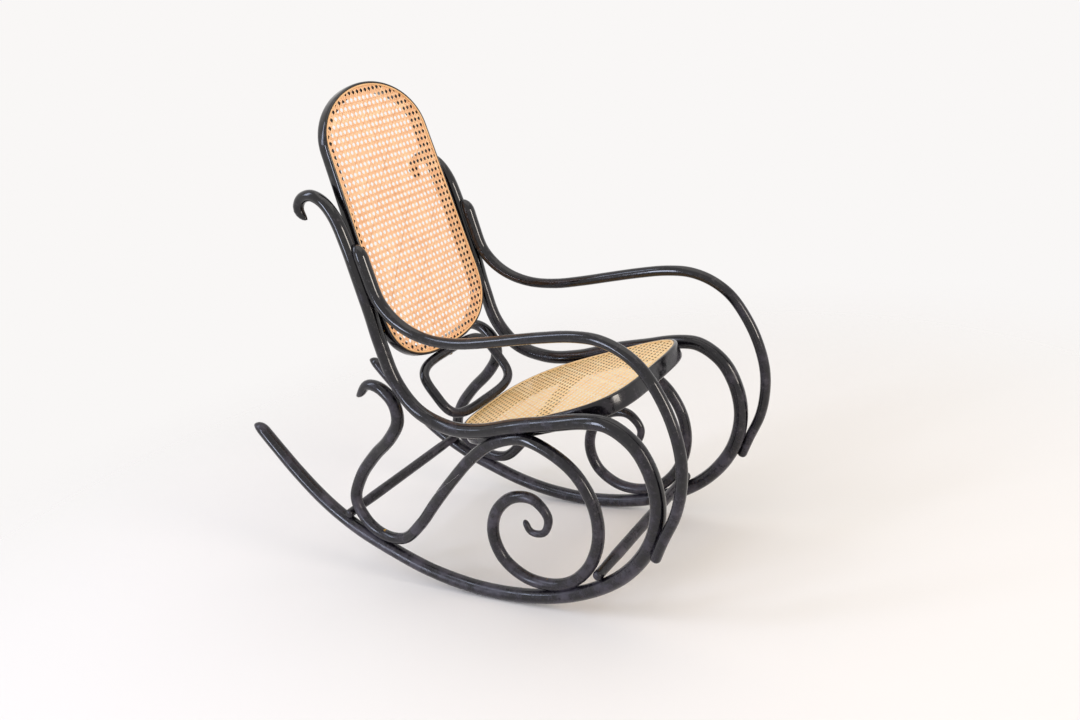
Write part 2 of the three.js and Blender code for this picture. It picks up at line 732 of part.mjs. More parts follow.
const chair = new THREE.Group();
for (const [name, piece] of pieces) {
  const mesh = new THREE.Mesh(toGeometry(piece.solid), new THREE.MeshStandardMaterial(piece.finish));
  mesh.name = name;
  chair.add(mesh);
}

// The chair stands on the floor with its origin under the middle of its length and width
const extent = new THREE.Box3().setFromObject(chair);
const centre = extent.getCenter(new THREE.Vector3());
chair.position.set(-centre.x, -centre.y, -extent.min.z);

export default chair;
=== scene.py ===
# %% [markdown]
# A bentwood rocking chair
#
# The chair is made of beech rods that were steamed, bent round iron forms and lacquered black. Two caned
# hoops make the seat and the back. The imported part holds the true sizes, with eight-sided rods and cane drawn
# as a coarse net. This lesson dresses it: round rods that taper into curls, hoops with soft edges, and cane
# woven strand by strand.

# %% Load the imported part
import math

import bmesh
import bpy
import numpy as np
from mathutils import Matrix, Vector


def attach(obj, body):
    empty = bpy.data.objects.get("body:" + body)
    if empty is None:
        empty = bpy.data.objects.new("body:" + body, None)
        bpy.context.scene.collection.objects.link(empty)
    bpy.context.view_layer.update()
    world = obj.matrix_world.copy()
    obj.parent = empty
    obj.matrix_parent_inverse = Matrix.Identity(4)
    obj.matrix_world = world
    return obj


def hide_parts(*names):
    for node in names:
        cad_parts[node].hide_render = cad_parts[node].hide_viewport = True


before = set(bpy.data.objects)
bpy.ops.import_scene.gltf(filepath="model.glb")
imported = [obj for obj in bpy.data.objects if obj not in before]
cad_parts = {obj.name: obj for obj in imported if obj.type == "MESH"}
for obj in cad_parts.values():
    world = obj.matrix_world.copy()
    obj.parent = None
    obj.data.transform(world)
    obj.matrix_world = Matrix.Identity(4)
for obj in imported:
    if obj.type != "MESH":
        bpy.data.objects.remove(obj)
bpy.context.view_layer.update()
print("the packed part has", len(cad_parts), "nodes")

# %% [markdown]
# Sizes
#
# Every size is in metres. The drawing of one side has its zero near the seat's rear end. At rest the chair
# leans 12 degrees further forward than it is drawn, where its weight stands over the runners, and the packed
# part has its zero on the floor under its middle. So one turn and one shift carry the drawing over. Places
# along a rod are shares of the side's depth and height, and both sides use the same drawing.

# %% Driving sizes
MM = 0.001
SIDE_DEPTH = 1.100
SIDE_HEIGHT = 0.876
RAIL_HALF = 0.218
REST_LEAN = math.radians(12)
REST_SHIFT = np.array([0.0, 0.10192, 0.01914])
ACROSS = np.array([1.0, 0.0, 0.0])

SIDE_ROD_RADIUS = 16 * MM
HOOP_HALF = 182.5 * MM
POST_CLEARANCE = 0.6 * MM
POST_HALF = HOOP_HALF + SIDE_ROD_RADIUS + POST_CLEARANCE
print("posts %.0f mm apart, rails %.0f mm" % (2 * POST_HALF / MM, 2 * RAIL_HALF / MM))

# %% [markdown]
# From points to a smooth path
#
# A few given points, one every 80 mm or so, give the sweep of a bent rod. A Catmull-Rom curve goes through
# them, but its bend jumps a little at each point and the gloss would show that as a kink. So the path is
# relaxed by smoothing passes, each followed by one that pushes back by nearly as much: the kinks go and the
# sweep stays. Real bentwood has no kinks either, because the strap that holds it spreads the bend.

# %% Paths
SPAN_STEPS = 12
SMOOTHING_PASSES = 60
SMOOTH_SHARE, PUSH_BACK_SHARE = 0.5, -0.52


def catmull_rom(points):
    """Centripetal Catmull-Rom samples through the points, with the place of each sample."""
    p = np.array(points, float)
    p = np.vstack([2 * p[0] - p[1], p, 2 * p[-1] - p[-2]])
    t = np.linspace(0, 1, SPAN_STEPS, endpoint=False)[:, None]
    samples = []
    for a, b, c, d in zip(p, p[1:], p[2:], p[3:]):
        ab, bc, cd = (np.linalg.norm(v) ** 0.5 for v in (b - a, c - b, d - c))
        start = bc * ((b - a) / ab - (c - a) / (ab + bc) + (c - b) / bc)
        end = bc * ((c - b) / bc - (d - b) / (bc + cd) + (d - c) / cd)
        samples.append(
            b + start * t + (3 * (c - b) - 2 * start - end) * t**2 + (2 * (b - c) + start + end) * t**3
        )
    return np.vstack(samples + [p[-2:-1]])


def relax(path):
    """Takes the small kinks out of a path and keeps its sweep and its ends."""
    path = path.copy()
    for _ in range(SMOOTHING_PASSES):
        for share in (SMOOTH_SHARE, PUSH_BACK_SHARE):
            path[1:-1] += share * ((path[:-2] + path[2:]) / 2 - path[1:-1])
    return path


def lengths_along(path):
    return np.concatenate([[0], np.cumsum(np.linalg.norm(np.diff(path, axis=0), axis=1))])


def at_lengths(path, lengths):
    along = lengths_along(path)
    return np.stack([np.interp(lengths, along, axis) for axis in path.T], axis=1)


def smoothstep(value, start, end):
    t = np.clip((np.asarray(value, float) - start) / (end - start), 0, 1)
    return t * t * (3 - 2 * t)


print("a path takes", SPAN_STEPS, "steps from each point to the next")

# %% [markdown]
# The path of a side
#
# One rod makes nearly a whole side. Its points run from the curl behind the back down the post, along the
# rail, round the bow and back along the runner. The posts stand closer together than the rails, because
# the narrow back hoop fits between the posts and the wider seat between the rails.

# %% Path of a side
SIDE_ROD_SHARES = [
    (0.2955, 0.911), (0.309, 0.9395), (0.300, 0.966), (0.2745, 0.980), (0.2455, 0.970), (0.218, 0.936),
    (0.1945, 0.877), (0.171, 0.796), (0.148, 0.7135), (0.1265, 0.629), (0.0945, 0.538), (0.0425, 0.4795),
    (-0.0345, 0.4635), (-0.110, 0.484), (-0.192, 0.5275), (-0.273, 0.564), (-0.338, 0.592), (-0.384, 0.598),
    (-0.434, 0.568), (-0.466, 0.514), (-0.484, 0.440), (-0.481, 0.361), (-0.461, 0.290), (-0.420, 0.214),
    (-0.357, 0.144), (-0.272, 0.084), (-0.1636, 0.0394), (-0.0682, 0.0211), (0.0273, 0.0211),
    (0.1227, 0.0394), (0.212, 0.0665), (0.296, 0.112), (0.375, 0.178), (0.430, 0.235), (0.478, 0.287),
]
POST_END_PLACE, RAIL_START_PLACE = 10, 14


def leaned(y, z):
    """A direction of the side drawing, turned to how the chair rests."""
    turn, lift = math.cos(REST_LEAN), math.sin(REST_LEAN)
    return np.array([0.0, y * turn - z * lift, y * lift + z * turn])


def in_side(shares, half=RAIL_HALF):
    """A point of the side drawing, on the sitter's left, in the frame."""
    return half * ACROSS + leaned(shares[0] * SIDE_DEPTH, shares[1] * SIDE_HEIGHT) + REST_SHIFT


def half_at(index, start, end):
    """Half the chair's width at a rod's point: narrow at the posts, and spread out to the rails."""
    return POST_HALF + (RAIL_HALF - POST_HALF) * smoothstep(index, start, end)


side_path = relax(catmull_rom([
    in_side(s, half_at(i, POST_END_PLACE, RAIL_START_PLACE)) for i, s in enumerate(SIDE_ROD_SHARES)]))


def sample_at(place):
    return int(round(place * SPAN_STEPS))


def heading(path, sample):
    step = path[min(sample + 1, len(path) - 1)] - path[max(sample - 1, 0)]
    return step / np.linalg.norm(step)


def inward_of(direction):
    turned = np.array([0.0, -direction[2], direction[1]])
    return turned / np.linalg.norm(turned)


def beside(place, distance):
    """The point beside the side rod, on the inside of its sweep where the distance is positive."""
    sample = sample_at(place)
    return side_path[sample] + distance * inward_of(heading(side_path, sample))


print("side rod: %.2f m long" % lengths_along(side_path)[-1])

# %% [markdown]
# Colours and nodes
#
# Colours are written as the sRGB hex values that a paint chart gives. Blender works in linear light, so one
# function turns them. One more function adds a node of any kind, sets it and links it.

# %% Material helpers


def linear(hex_colour):
    parts = [int(hex_colour[i:i + 2], 16) / 255 for i in (1, 3, 5)]
    return tuple(c / 12.92 if c <= 0.04045 else ((c + 0.055) / 1.055) ** 2.4 for c in parts) + (1.0,)


def add_node(tree, kind, settings=None, inputs=None, stops=()):
    """Adds a node. An input has a name or a number, and takes a value or another node's output.

    The stops are those of a colour ramp, as (position, hex colour).
    """
    node = tree.nodes.new(kind)
    for name, value in (settings or {}).items():
        setattr(node, name, value)
    for name, value in (inputs or {}).items():
        if isinstance(value, bpy.types.NodeSocket):
            tree.links.new(value, node.inputs[name])
        else:
            node.inputs[name].default_value = value
    for _ in stops[2:]:
        node.color_ramp.elements.new(0.5)
    for i, (position, colour) in enumerate(stops):
        node.color_ramp.elements[i].position = position
        node.color_ramp.elements[i].color = linear(colour)
    return node


def new_material(name):
    material = bpy.data.materials.new(name)
    material.use_nodes = True
    material.node_tree.nodes.clear()
    return material, material.node_tree


print("lacquer black in linear light:", linear("#0f0d12"))

# %% [markdown]
# Black lacquer on beech
#
# Shellac lacquer over black stain: the wood under it is hidden, and what the eye gets is the gloss. It was
# brushed and rubbed by hand, so highlights waver a little over some tens of millimetres. Lower down, where
# shoes and hands rub it, the coat is worn through in patches, dull and grey with dust in its scuffs, while
# the posts and curls are still glossy. A dark base under a clear coat that thins where it is worn gives both.
# Dust nibs in a brushed coat are finer than a picture shows, so they are drawn coarser, 1.6 mm across.
# Fresh shellac has an IOR of about 1.5. The lower value here gives the weaker gloss of an old, waxed coat.

# %% Black lacquer
LACQUER_WAVE = 26 * MM
LACQUER_PATCH = 45 * MM
LACQUER_SCUFF = 9 * MM
LACQUER_SPECK = 1.6 * MM


def make_black_lacquer():
    material, tree = new_material("black_lacquer_on_beech")
    place = add_node(tree, "ShaderNodeTexCoord").outputs["Object"]
    wave = add_node(tree, "ShaderNodeTexNoise", inputs={
        "Vector": place, "Scale": 1 / LACQUER_WAVE, "Detail": 1.0, "Roughness": 0.4})
    patch = add_node(tree, "ShaderNodeTexNoise", inputs={
        "Vector": place, "Scale": 1 / LACQUER_PATCH, "Detail": 5.0, "Roughness": 0.65})
    scuff = add_node(tree, "ShaderNodeTexNoise", inputs={
        "Vector": place, "Scale": 1 / LACQUER_SCUFF, "Detail": 4.0, "Roughness": 0.7})
    speck = add_node(tree, "ShaderNodeTexNoise", inputs={
        "Vector": place, "Scale": 1 / LACQUER_SPECK, "Detail": 2.0})
    height = add_node(tree, "ShaderNodeSeparateXYZ", inputs={"Vector": place})
    low_down = add_node(tree, "ShaderNodeMapRange", inputs={
        "Value": height.outputs["Z"], "From Min": 0.75, "From Max": 0.15, "To Min": -0.12, "To Max": 0.1})
    worn = add_node(tree, "ShaderNodeMath", {"operation": "ADD"}, {
        0: patch.outputs["Fac"], 1: low_down.outputs["Result"]})
    colour = add_node(tree, "ShaderNodeValToRGB", inputs={"Fac": worn.outputs["Value"]}, stops=[
        (0.3, "#050406"), (0.5, "#0f0d12"), (0.6, "#262329"), (0.72, "#3c3840")])
    dusty = add_node(tree, "ShaderNodeMapRange", inputs={
        "Value": scuff.outputs["Fac"], "From Min": 0.56, "From Max": 0.72, "To Min": 0.0, "To Max": 0.36})
    tinted = add_node(tree, "ShaderNodeMix", {"data_type": "RGBA"}, {
        0: dusty.outputs["Result"], 6: colour.outputs["Color"], 7: linear("#5a5458")})
    dull = add_node(tree, "ShaderNodeMapRange", inputs={
        "Value": worn.outputs["Value"], "From Min": 0.4, "From Max": 0.68, "To Min": 0.1, "To Max": 0.34})
    coat = add_node(tree, "ShaderNodeMapRange", inputs={
        "Value": worn.outputs["Value"], "From Min": 0.4, "From Max": 0.62, "To Min": 0.45, "To Max": 0.1})
    low = add_node(tree, "ShaderNodeBump", inputs={
        "Height": wave.outputs["Fac"], "Strength": 0.3, "Distance": 0.9 * MM})
    fine = add_node(tree, "ShaderNodeBump", inputs={
        "Height": speck.outputs["Fac"], "Strength": 0.06, "Distance": 0.1 * MM,
        "Normal": low.outputs["Normal"]})
    shader = add_node(tree, "ShaderNodeBsdfPrincipled", inputs={
        "Base Color": tinted.outputs[2],
        "Roughness": dull.outputs["Result"],
        "IOR": 1.35,
        "Coat Weight": coat.outputs["Result"],
        "Coat Roughness": 0.04,
        "Normal": fine.outputs["Normal"],
        "Coat Normal": low.outputs["Normal"],
    })
    add_node(tree, "ShaderNodeOutputMaterial", inputs={"Surface": shader.outputs["BSDF"]})
    return material


black_lacquer = make_black_lacquer()
print("material:", black_lacquer.name)

# %% [markdown]
# A bent rod
#
# A curve object with a bevel could draw a rod, but its ends, its tapers and its scarfs need more say. So the
# tube is built ring by ring, each turned as little as possible from the one before, which keeps the faces
# from twisting.

# %% Rings of a rod
ROD_SIDES = 20
RING_SPACING = 6 * MM
END_RINGS = 6
NEARLY_ALONG = 0.1
SHARP_DEGREES = 40


def new_mesh_object(name, vertices, faces, material, sharp_degrees=SHARP_DEGREES):
    mesh = bpy.data.meshes.new(name)
    mesh.from_pydata([tuple(v) for v in vertices], [], faces)
    mesh.materials.append(material)
    mesh.shade_smooth()
    mesh.set_sharp_from_angle(angle=math.radians(sharp_degrees))
    mesh.validate()
    piece = bpy.data.objects.new(name, mesh)
    bpy.context.scene.collection.objects.link(piece)
    return piece


def ring_directions(centres):
    """Two directions square to the path at each ring, turned as little as possible from ring to ring."""
    along = np.gradient(centres, axis=0)
    along /= np.linalg.norm(along, axis=1)[:, None]
    first = np.cross(along[0], ACROSS)
    if np.linalg.norm(first) < NEARLY_ALONG:
        first = np.cross(along[0], np.array([0.0, 0.0, 1.0]))
    first /= np.linalg.norm(first)
    firsts = [first]
    for tangent in along[1:]:
        first = first - tangent * np.dot(first, tangent)
        first /= np.linalg.norm(first)
        firsts.append(first)
    firsts = np.array(firsts)
    return firsts, np.cross(along, firsts)


def ring_lengths(total, roundings):
    """Where the rings go: evenly along the rod, and closer over each rounded end."""
    lengths = np.linspace(0, total, int(total / RING_SPACING) + 1)
    arc = 1 - np.cos(np.linspace(0, math.pi / 2, END_RINGS + 1))
    start, end = ([0.0] if r == 0 else list(r * arc) for r in roundings)
    middle = [s for s in lengths if start[-1] < s < total - end[-1]]
    return np.array(start + middle + [total - s for s in end[::-1]])


print("a rod has", ROD_SIDES, "sides and a ring every %.0f mm" % (RING_SPACING / MM))

# %% [markdown]
# The ends of a rod
#
# Extra rings round an end over along a quarter ellipse: short for a sawn end with its edge taken off, long
# for the pointed tip of a curl. The maker rasps most ends from one side only, so as the rings close they can
# also move over to the other side, which leaves a beak.

# %% Rods with rounded ends
CLOSED_SHARE = 0.02


def end_share(distance, radius, rounding):
    """How far a rod has closed in at a distance from a rounded end."""
    if rounding == 0:
        return 1.0
    depth = np.clip(1 - distance / rounding, 0, 1)
    return 1 - min(rounding / radius, 1) * (1 - np.sqrt(1 - depth * depth))


def make_rod(name, path, radius_at, roundings, beaks=(0, 0)):
    """A closed tube along a path. radius_at(from_start, from_end) gives its radius.

    Each end has the length of its rounding, and a beak: the direction that its tip moves over to.
    """
    total = lengths_along(path)[-1]
    lengths = ring_lengths(total, roundings)
    centres = at_lengths(path, lengths)
    radii = radius_at(lengths, total - lengths) * np.ones(len(lengths))
    starts = end_share(lengths, radii[0], roundings[0])
    ends = end_share(total - lengths, radii[-1], roundings[1])
    firsts, seconds = ring_directions(centres)
    for closing, beak in ((1 - starts, beaks[0]), (1 - ends, beaks[1])):
        centres = centres + (closing * radii)[:, None] * beak
    radii = radii * np.maximum(starts * ends, CLOSED_SHARE)
    angles = 2 * math.pi * np.arange(ROD_SIDES) / ROD_SIDES
    ring = np.cos(angles)[None, :, None] * firsts[:, None] + np.sin(angles)[None, :, None] * seconds[:, None]
    vertices = (centres[:, None] + radii[:, None, None] * ring).reshape(-1, 3)
    rings = len(lengths)
    faces = []
    for i in range(rings - 1):
        for j in range(ROD_SIDES):
            k = (j + 1) % ROD_SIDES
            a, b = i * ROD_SIDES, (i + 1) * ROD_SIDES
            faces.append((a + j, a + k, b + k, b + j))
    faces.append(tuple(range(ROD_SIDES))[::-1])
    faces.append(tuple((rings - 1) * ROD_SIDES + j for j in range(ROD_SIDES)))
    return new_mesh_object(name, vertices, faces, black_lacquer)


def narrowed(tip_radius, radius, taper_length, distance):
    return tip_radius + (radius - tip_radius) * smoothstep(distance, 0, taper_length)


print("a rod's tip closes to %.0f%% of its radius" % (100 * CLOSED_SHARE))

# %% [markdown]
# Scarf joints
#
# No beech pole is long enough for a whole side, so the runner's tail is a second rod. Both rods are planed
# off on a long slope and glued, and a hairline shows where they meet. In the mesh, the slope's plane cuts the
# last rings of each rod and the cut is closed. The cut is kept to those rings, because the plane would meet
# the rod again further round the sweep.

# %% Scarf joints
SCARF_HAIRLINE = 0.3 * MM


def scarf_plane(path, sample, radius, length):
    middle = path[sample]
    along = heading(path, sample)
    slope = along * length + 2 * radius * inward_of(along)
    normal = np.cross(ACROSS, slope)
    return middle, normal / np.linalg.norm(normal)


def plane_off(piece, plane, length, side):
    """Cuts the rod's rings near the joint by the scarf's slope. Side 1 is the rod before the joint."""
    middle, normal = plane
    mesh = bmesh.new()
    mesh.from_mesh(piece.data)
    vertices = list(mesh.verts)
    near = ROD_SIDES * math.ceil(length / RING_SPACING)
    picked = set(vertices[-near:] if side > 0 else vertices[:near])
    faces = [f for f in mesh.faces if picked.issuperset(f.verts)]
    edges = [e for e in mesh.edges if picked.issuperset(e.verts)]
    bmesh.ops.bisect_plane(
        mesh, geom=list(picked) + edges + faces, clear_outer=True,
        plane_co=middle + side * SCARF_HAIRLINE / 2 * normal, plane_no=-side * normal)
    bmesh.ops.holes_fill(mesh, edges=[e for e in mesh.edges if e.is_boundary], sides=0)
    mesh.to_mesh(piece.data)
    mesh.free()
    piece.data.set_sharp_from_angle(angle=math.radians(SHARP_DEGREES))


def split_at_scarf(path, sample, length):
    """The two halves of a path, each running on to the far end of the scarf."""
    along = lengths_along(path)
    first = int(np.searchsorted(along, along[sample] - length / 2))
    last = int(np.searchsorted(along, along[sample] + length / 2))
    return path[:last + 1], path[first:]


def make_scarfed(path, place, radius, length, before, after):
    """Two rods that meet in a scarf. Each is given as its name, radius_at, and its tip's length and beak."""
    sample = sample_at(place)
    joint = scarf_plane(path, sample, radius, length)
    first_path, last_path = split_at_scarf(path, sample, length)
    name, radius_at, point, beak = before
    first = make_rod(name, first_path, radius_at, (point, 0), (beak, 0))
    name, radius_at, point, beak = after
    last = make_rod(name, last_path, radius_at, (0, point), (0, beak))
    plane_off(first, joint, length, 1)
    plane_off(last, joint, length, -1)
    return first, last


print("a scarf shows as a line of %.1f mm" % (SCARF_HAIRLINE / MM))

# %% [markdown]
# The side rods
#
# Each side is one sweep: a curl behind the back, the post, the rail under the seat, the bow in front and the
# runner on the floor. The rod is thinnest at the curl's tip and fullest in the bow and the runner.

# %% Side rods and runner tails
SIDES = {"left": 1, "right": -1}
RUNNER_SCARF_PLACE = 29
RUNNER_SCARF_LENGTH = 140 * MM
CURL_TIP_RADIUS, CURL_TAPER = 11.6 * MM, 240 * MM
CURL_POINT, TAIL_POINT = 36 * MM, 32 * MM
POST_RADIUS, POST_TAPER = 15.3 * MM, 900 * MM
TAIL_TIP_RADIUS, TAIL_TAPER = 15.2 * MM, 200 * MM
TAIL_REACH = 16 * MM
BEAK = 0.75


def on_side(path, side):
    return path * np.array([side, 1, 1])


def wood_piece(piece, *nodes):
    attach(piece, "root")
    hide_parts(*nodes)


def side_rod_radius(from_start, _):
    post = narrowed(POST_RADIUS, SIDE_ROD_RADIUS, POST_TAPER, from_start)
    return narrowed(CURL_TIP_RADIUS, post, CURL_TAPER, from_start)


def tail_radius(_, from_end):
    return narrowed(TAIL_TIP_RADIUS, SIDE_ROD_RADIUS, TAIL_TAPER, from_end)


def wear_flat(piece):
    """The runners are worn flat where they stand: nothing reaches below the floor."""
    for vertex in piece.data.vertices:
        vertex.co.z = max(vertex.co.z, 0.0)
    piece.data.update()


def make_side(hand, side):
    tail_heading = heading(side_path, len(side_path) - 1)
    path = on_side(np.vstack([side_path, side_path[-1:] + TAIL_REACH * tail_heading]), side)
    front, rear = make_scarfed(
        path, RUNNER_SCARF_PLACE, SIDE_ROD_RADIUS, RUNNER_SCARF_LENGTH,
        (f"bent_side_rod_{hand}", side_rod_radius, CURL_POINT, BEAK * inward_of(heading(side_path, 0))),
        (f"bent_runner_tail_{hand}", tail_radius, TAIL_POINT, -BEAK * inward_of(tail_heading)))
    wear_flat(front)
    wood_piece(front, f"side_rod_{hand}")
    wood_piece(rear, f"runner_tail_{hand}")


for hand, side in SIDES.items():
    make_side(hand, side)

# %% [markdown]
# The scrolls
#
# Inside each side frame a thinner rod makes a hooked S behind and a circle with a volute in front. It
# touches the side rod at three places, where the real one is filed flat and screwed. A scarf on its rising
# stretch joins its two halves.

# %% Scrolls
SCROLL_REAR_SHARES = [
    (0.1965, 0.461), (0.171, 0.506), (0.138, 0.508), (0.106, 0.479), (0.098, 0.428), (0.122, 0.368),
    (0.165, 0.303), (0.206, 0.222), (0.219, 0.150), (0.186, 0.098),
]
SCROLL_RISE_SHARES = [
    (0.086, 0.091), (0.041, 0.154), (0.000, 0.236), (-0.045, 0.322), (-0.095, 0.407), (-0.145, 0.466),
]
SCROLL_CIRCLE_SHARES = [
    (-0.264, 0.489), (-0.320, 0.451), (-0.359, 0.382), (-0.371, 0.303), (-0.355, 0.215), (-0.316, 0.149),
]
VOLUTE_SHARES = [
    (-0.214, 0.114), (-0.164, 0.146), (-0.141, 0.205), (-0.148, 0.274), (-0.186, 0.332), (-0.232, 0.345),
    (-0.264, 0.308), (-0.255, 0.262), (-0.227, 0.253), (-0.212, 0.280),
]
SCROLL_BEND_PLACE, SCROLL_FOOT_PLACE = 6, 10
REAR_SCROLL_FOOT, SCROLL_TOP, FRONT_SCROLL_FOOT = 29.25, 14.05, 24.95
SCROLL_SCARF_PLACE = 14.1
SCROLL_SCARF_LENGTH = 170 * MM

SCROLL_RADIUS = 13.3 * MM
SCROLL_TIP_RADIUS, SCROLL_TAPER = 9.5 * MM, 110 * MM
HOOK_FULLNESS, HOOK_FULL_END, HOOK_THIN_START = 1.3 * MM, 350 * MM, 550 * MM
VOLUTE_TIP_RADIUS, VOLUTE_TAPER = 7 * MM, 240 * MM
HOOK_POINT, VOLUTE_POINT = 30 * MM, 12 * MM
CONTACT = 0.3 * MM
SCROLL_SPACING = SIDE_ROD_RADIUS + SCROLL_RADIUS - CONTACT

scroll_path = relax(catmull_rom([
    *[in_side(s, half_at(i, SCROLL_BEND_PLACE, SCROLL_FOOT_PLACE)) for i, s in enumerate(SCROLL_REAR_SHARES)],
    beside(REAR_SCROLL_FOOT, SCROLL_SPACING),
    *[in_side(s) for s in SCROLL_RISE_SHARES],
    beside(SCROLL_TOP, SCROLL_SPACING),
    *[in_side(s) for s in SCROLL_CIRCLE_SHARES],
    beside(FRONT_SCROLL_FOOT, SCROLL_SPACING),
    *[in_side(s) for s in VOLUTE_SHARES],
]))


def rear_scroll_radius(from_start, _):
    fuller_hook = HOOK_FULLNESS * (1 - smoothstep(from_start, HOOK_FULL_END, HOOK_THIN_START))
    return narrowed(SCROLL_TIP_RADIUS, SCROLL_RADIUS + fuller_hook, SCROLL_TAPER, from_start)


def volute_radius(_, from_end):
    return narrowed(VOLUTE_TIP_RADIUS, SCROLL_RADIUS, VOLUTE_TAPER, from_end)


def make_scroll(hand, side):
    hook_beak = -BEAK * inward_of(heading(scroll_path, 0))
    rear, front = make_scarfed(
        on_side(scroll_path, side), SCROLL_SCARF_PLACE, SCROLL_RADIUS, SCROLL_SCARF_LENGTH,
        (f"bent_rear_scroll_{hand}", rear_scroll_radius, HOOK_POINT, hook_beak),
        (f"bent_front_scroll_{hand}", volute_radius, VOLUTE_POINT, 0))
    wood_piece(rear, f"rear_scroll_{hand}")
    wood_piece(front, f"front_scroll_{hand}")


for hand, side in SIDES.items():
    make_scroll(hand, side)
print("scroll: %.2f m long" % lengths_along(scroll_path)[-1])

# %% [markdown]
# The arms
#
# An arm lies against the front of the post, dips, runs forward at elbow height and comes down in a wide bend
# to lie against the bow. It is thickest behind, where it is hollowed to sit on the post and its end is rasped
# down to a beak, and it flares outwards a little towards its foot.

# %% Arms
ARM_REAR_PLACES = (6.08, 6.95)
ARM_FRONT_PLACES = (20.9, 21.7)
ARM_SHARES = [
    (0.128, 0.748), (0.096, 0.710), (0.055, 0.687), (0.005, 0.679), (-0.055, 0.688), (-0.118, 0.710),
    (-0.182, 0.736), (-0.245, 0.761), (-0.305, 0.781), (-0.355, 0.788), (-0.400, 0.777), (-0.441, 0.748),
    (-0.477, 0.696), (-0.505, 0.634), (-0.523, 0.565), (-0.527, 0.497), (-0.521, 0.434),
]
ARM_INSET, ARM_FLARE, ARM_FLARE_CURVE = 3 * MM, 14 * MM, 1.5

ARM_RADIUS = 11.5 * MM
ARM_REAR_RADIUS, ARM_TAPER, ARM_REAR_BITE = 15.6 * MM, 340 * MM, 6 * MM
ARM_SPACING = SIDE_ROD_RADIUS + ARM_RADIUS - CONTACT
ARM_REAR_SPACING = SIDE_ROD_RADIUS + ARM_REAR_RADIUS - ARM_REAR_BITE
ARM_FOOT_SPACING = math.sqrt(ARM_SPACING**2 - ARM_FLARE**2)
ARM_REAR_POINT, ARM_FOOT_POINT = 34 * MM, 8 * MM
FOOT_THINNING, FOOT_THIN_END, FOOT_FULL_START = 0.5 * MM, 20 * MM, 200 * MM

arm_rear = [beside(place, -ARM_REAR_SPACING) - ARM_INSET * ACROSS for place in ARM_REAR_PLACES]
arm_front = [beside(place, -ARM_FOOT_SPACING) + ARM_FLARE * ACROSS for place in ARM_FRONT_PLACES]


def arm_point(index, shares):
    share = ((index + 1) / (len(ARM_SHARES) + 1)) ** ARM_FLARE_CURVE
    return in_side(shares, arm_rear[-1][0] + share * (arm_front[0][0] - arm_rear[-1][0]))


arm_path = relax(catmull_rom([*arm_rear, *[arm_point(i, s) for i, s in enumerate(ARM_SHARES)], *arm_front]))


def arm_radius(from_start, from_end):
    thinner_foot = FOOT_THINNING * (1 - smoothstep(from_end, FOOT_THIN_END, FOOT_FULL_START))
    return narrowed(ARM_REAR_RADIUS, ARM_RADIUS, ARM_TAPER, from_start) - thinner_foot


to_post = inward_of(heading(side_path, sample_at(ARM_REAR_PLACES[0])))
for hand, side in SIDES.items():
    arm = make_rod(
        f"bent_arm_{hand}", on_side(arm_path, side), arm_radius, (ARM_REAR_POINT, ARM_FOOT_POINT),
        (BEAK * to_post, 0))
    wood_piece(arm, f"arm_{hand}")
print("arm: %.2f m long" % lengths_along(arm_path)[-1])

# %% [markdown]
# Outlines of the hoops
#
# The back hoop is a tall arch: half an ellipse over straight sides that lean in, with a fuller round foot.
# The seat hoop is squarer in front than behind. Superellipses draw both, with one number for how square
# a quarter is.

# %% Outlines of the hoops
OUTLINE_POINTS = 192
HALF_TURN_STEPS = 4 * OUTLINE_POINTS
HOOP_SHOULDER_HALF, HOOP_WIDEST_DROP = 168 * MM, 139 * MM
HOOP_SHOULDER_RISE, HOOP_CROWN_RISE = 349 * MM, 126 * MM
CROWN_ROUNDNESS, HOOP_FOOT_ROUNDNESS = 2, 2.6
SEAT_CLEARANCE = 0.3 * MM
SEAT_HALF = RAIL_HALF - SIDE_ROD_RADIUS - SEAT_CLEARANCE
SEAT_REAR_LENGTH, SEAT_FRONT_LENGTH = 248 * MM, 219 * MM
SEAT_REAR_ROUNDNESS, SEAT_FRONT_ROUNDNESS = 3.0, 3.8


def superellipse(half_width, half_length, roundness, angle):
    across, along = math.cos(angle), math.sin(angle)
    power = 2 / roundness
    return (
        half_width * math.copysign(abs(across) ** power, across),
        half_length * math.copysign(abs(along) ** power, along),
    )


def even_outline(points):
    """The same outline with its points evenly spaced, starting where it started."""
    closed = np.vstack([points, points[:1]])
    return at_lengths(closed, np.linspace(0, lengths_along(closed)[-1], OUTLINE_POINTS, endpoint=False))


def back_outline():
    angles = np.linspace(0, math.pi, HALF_TURN_STEPS)
    crown = [superellipse(HOOP_SHOULDER_HALF, HOOP_CROWN_RISE, CROWN_ROUNDNESS, a) for a in angles]
    crown = [(x, y + HOOP_SHOULDER_RISE) for x, y in crown]
    foot = [superellipse(HOOP_HALF, HOOP_WIDEST_DROP, HOOP_FOOT_ROUNDNESS, a) for a in angles + math.pi]
    return even_outline(np.array(crown + foot))


def seat_outline():
    points = []
    for angle in np.linspace(0, 2 * math.pi, 2 * HALF_TURN_STEPS, endpoint=False):
        is_rear = angle <= math.pi
        length = SEAT_REAR_LENGTH if is_rear else SEAT_FRONT_LENGTH
        roundness = SEAT_REAR_ROUNDNESS if is_rear else SEAT_FRONT_ROUNDNESS
        points.append(superellipse(SEAT_HALF, length, roundness, angle))
    return even_outline(np.array(points))


back_line, seat_line = back_outline(), seat_outline()
print("hoops: %.2f m and %.2f m round" % tuple(lengths_along(line)[-1] for line in (back_line, seat_line)))

# %% [markdown]
# Where the hoops stand
#
# Each hoop is drawn on a flat plane that the side rods place. The back hoop leans back between the posts and
# stands a little in front of them. The seat hoop lies between the rails and tilts a little more than they do.

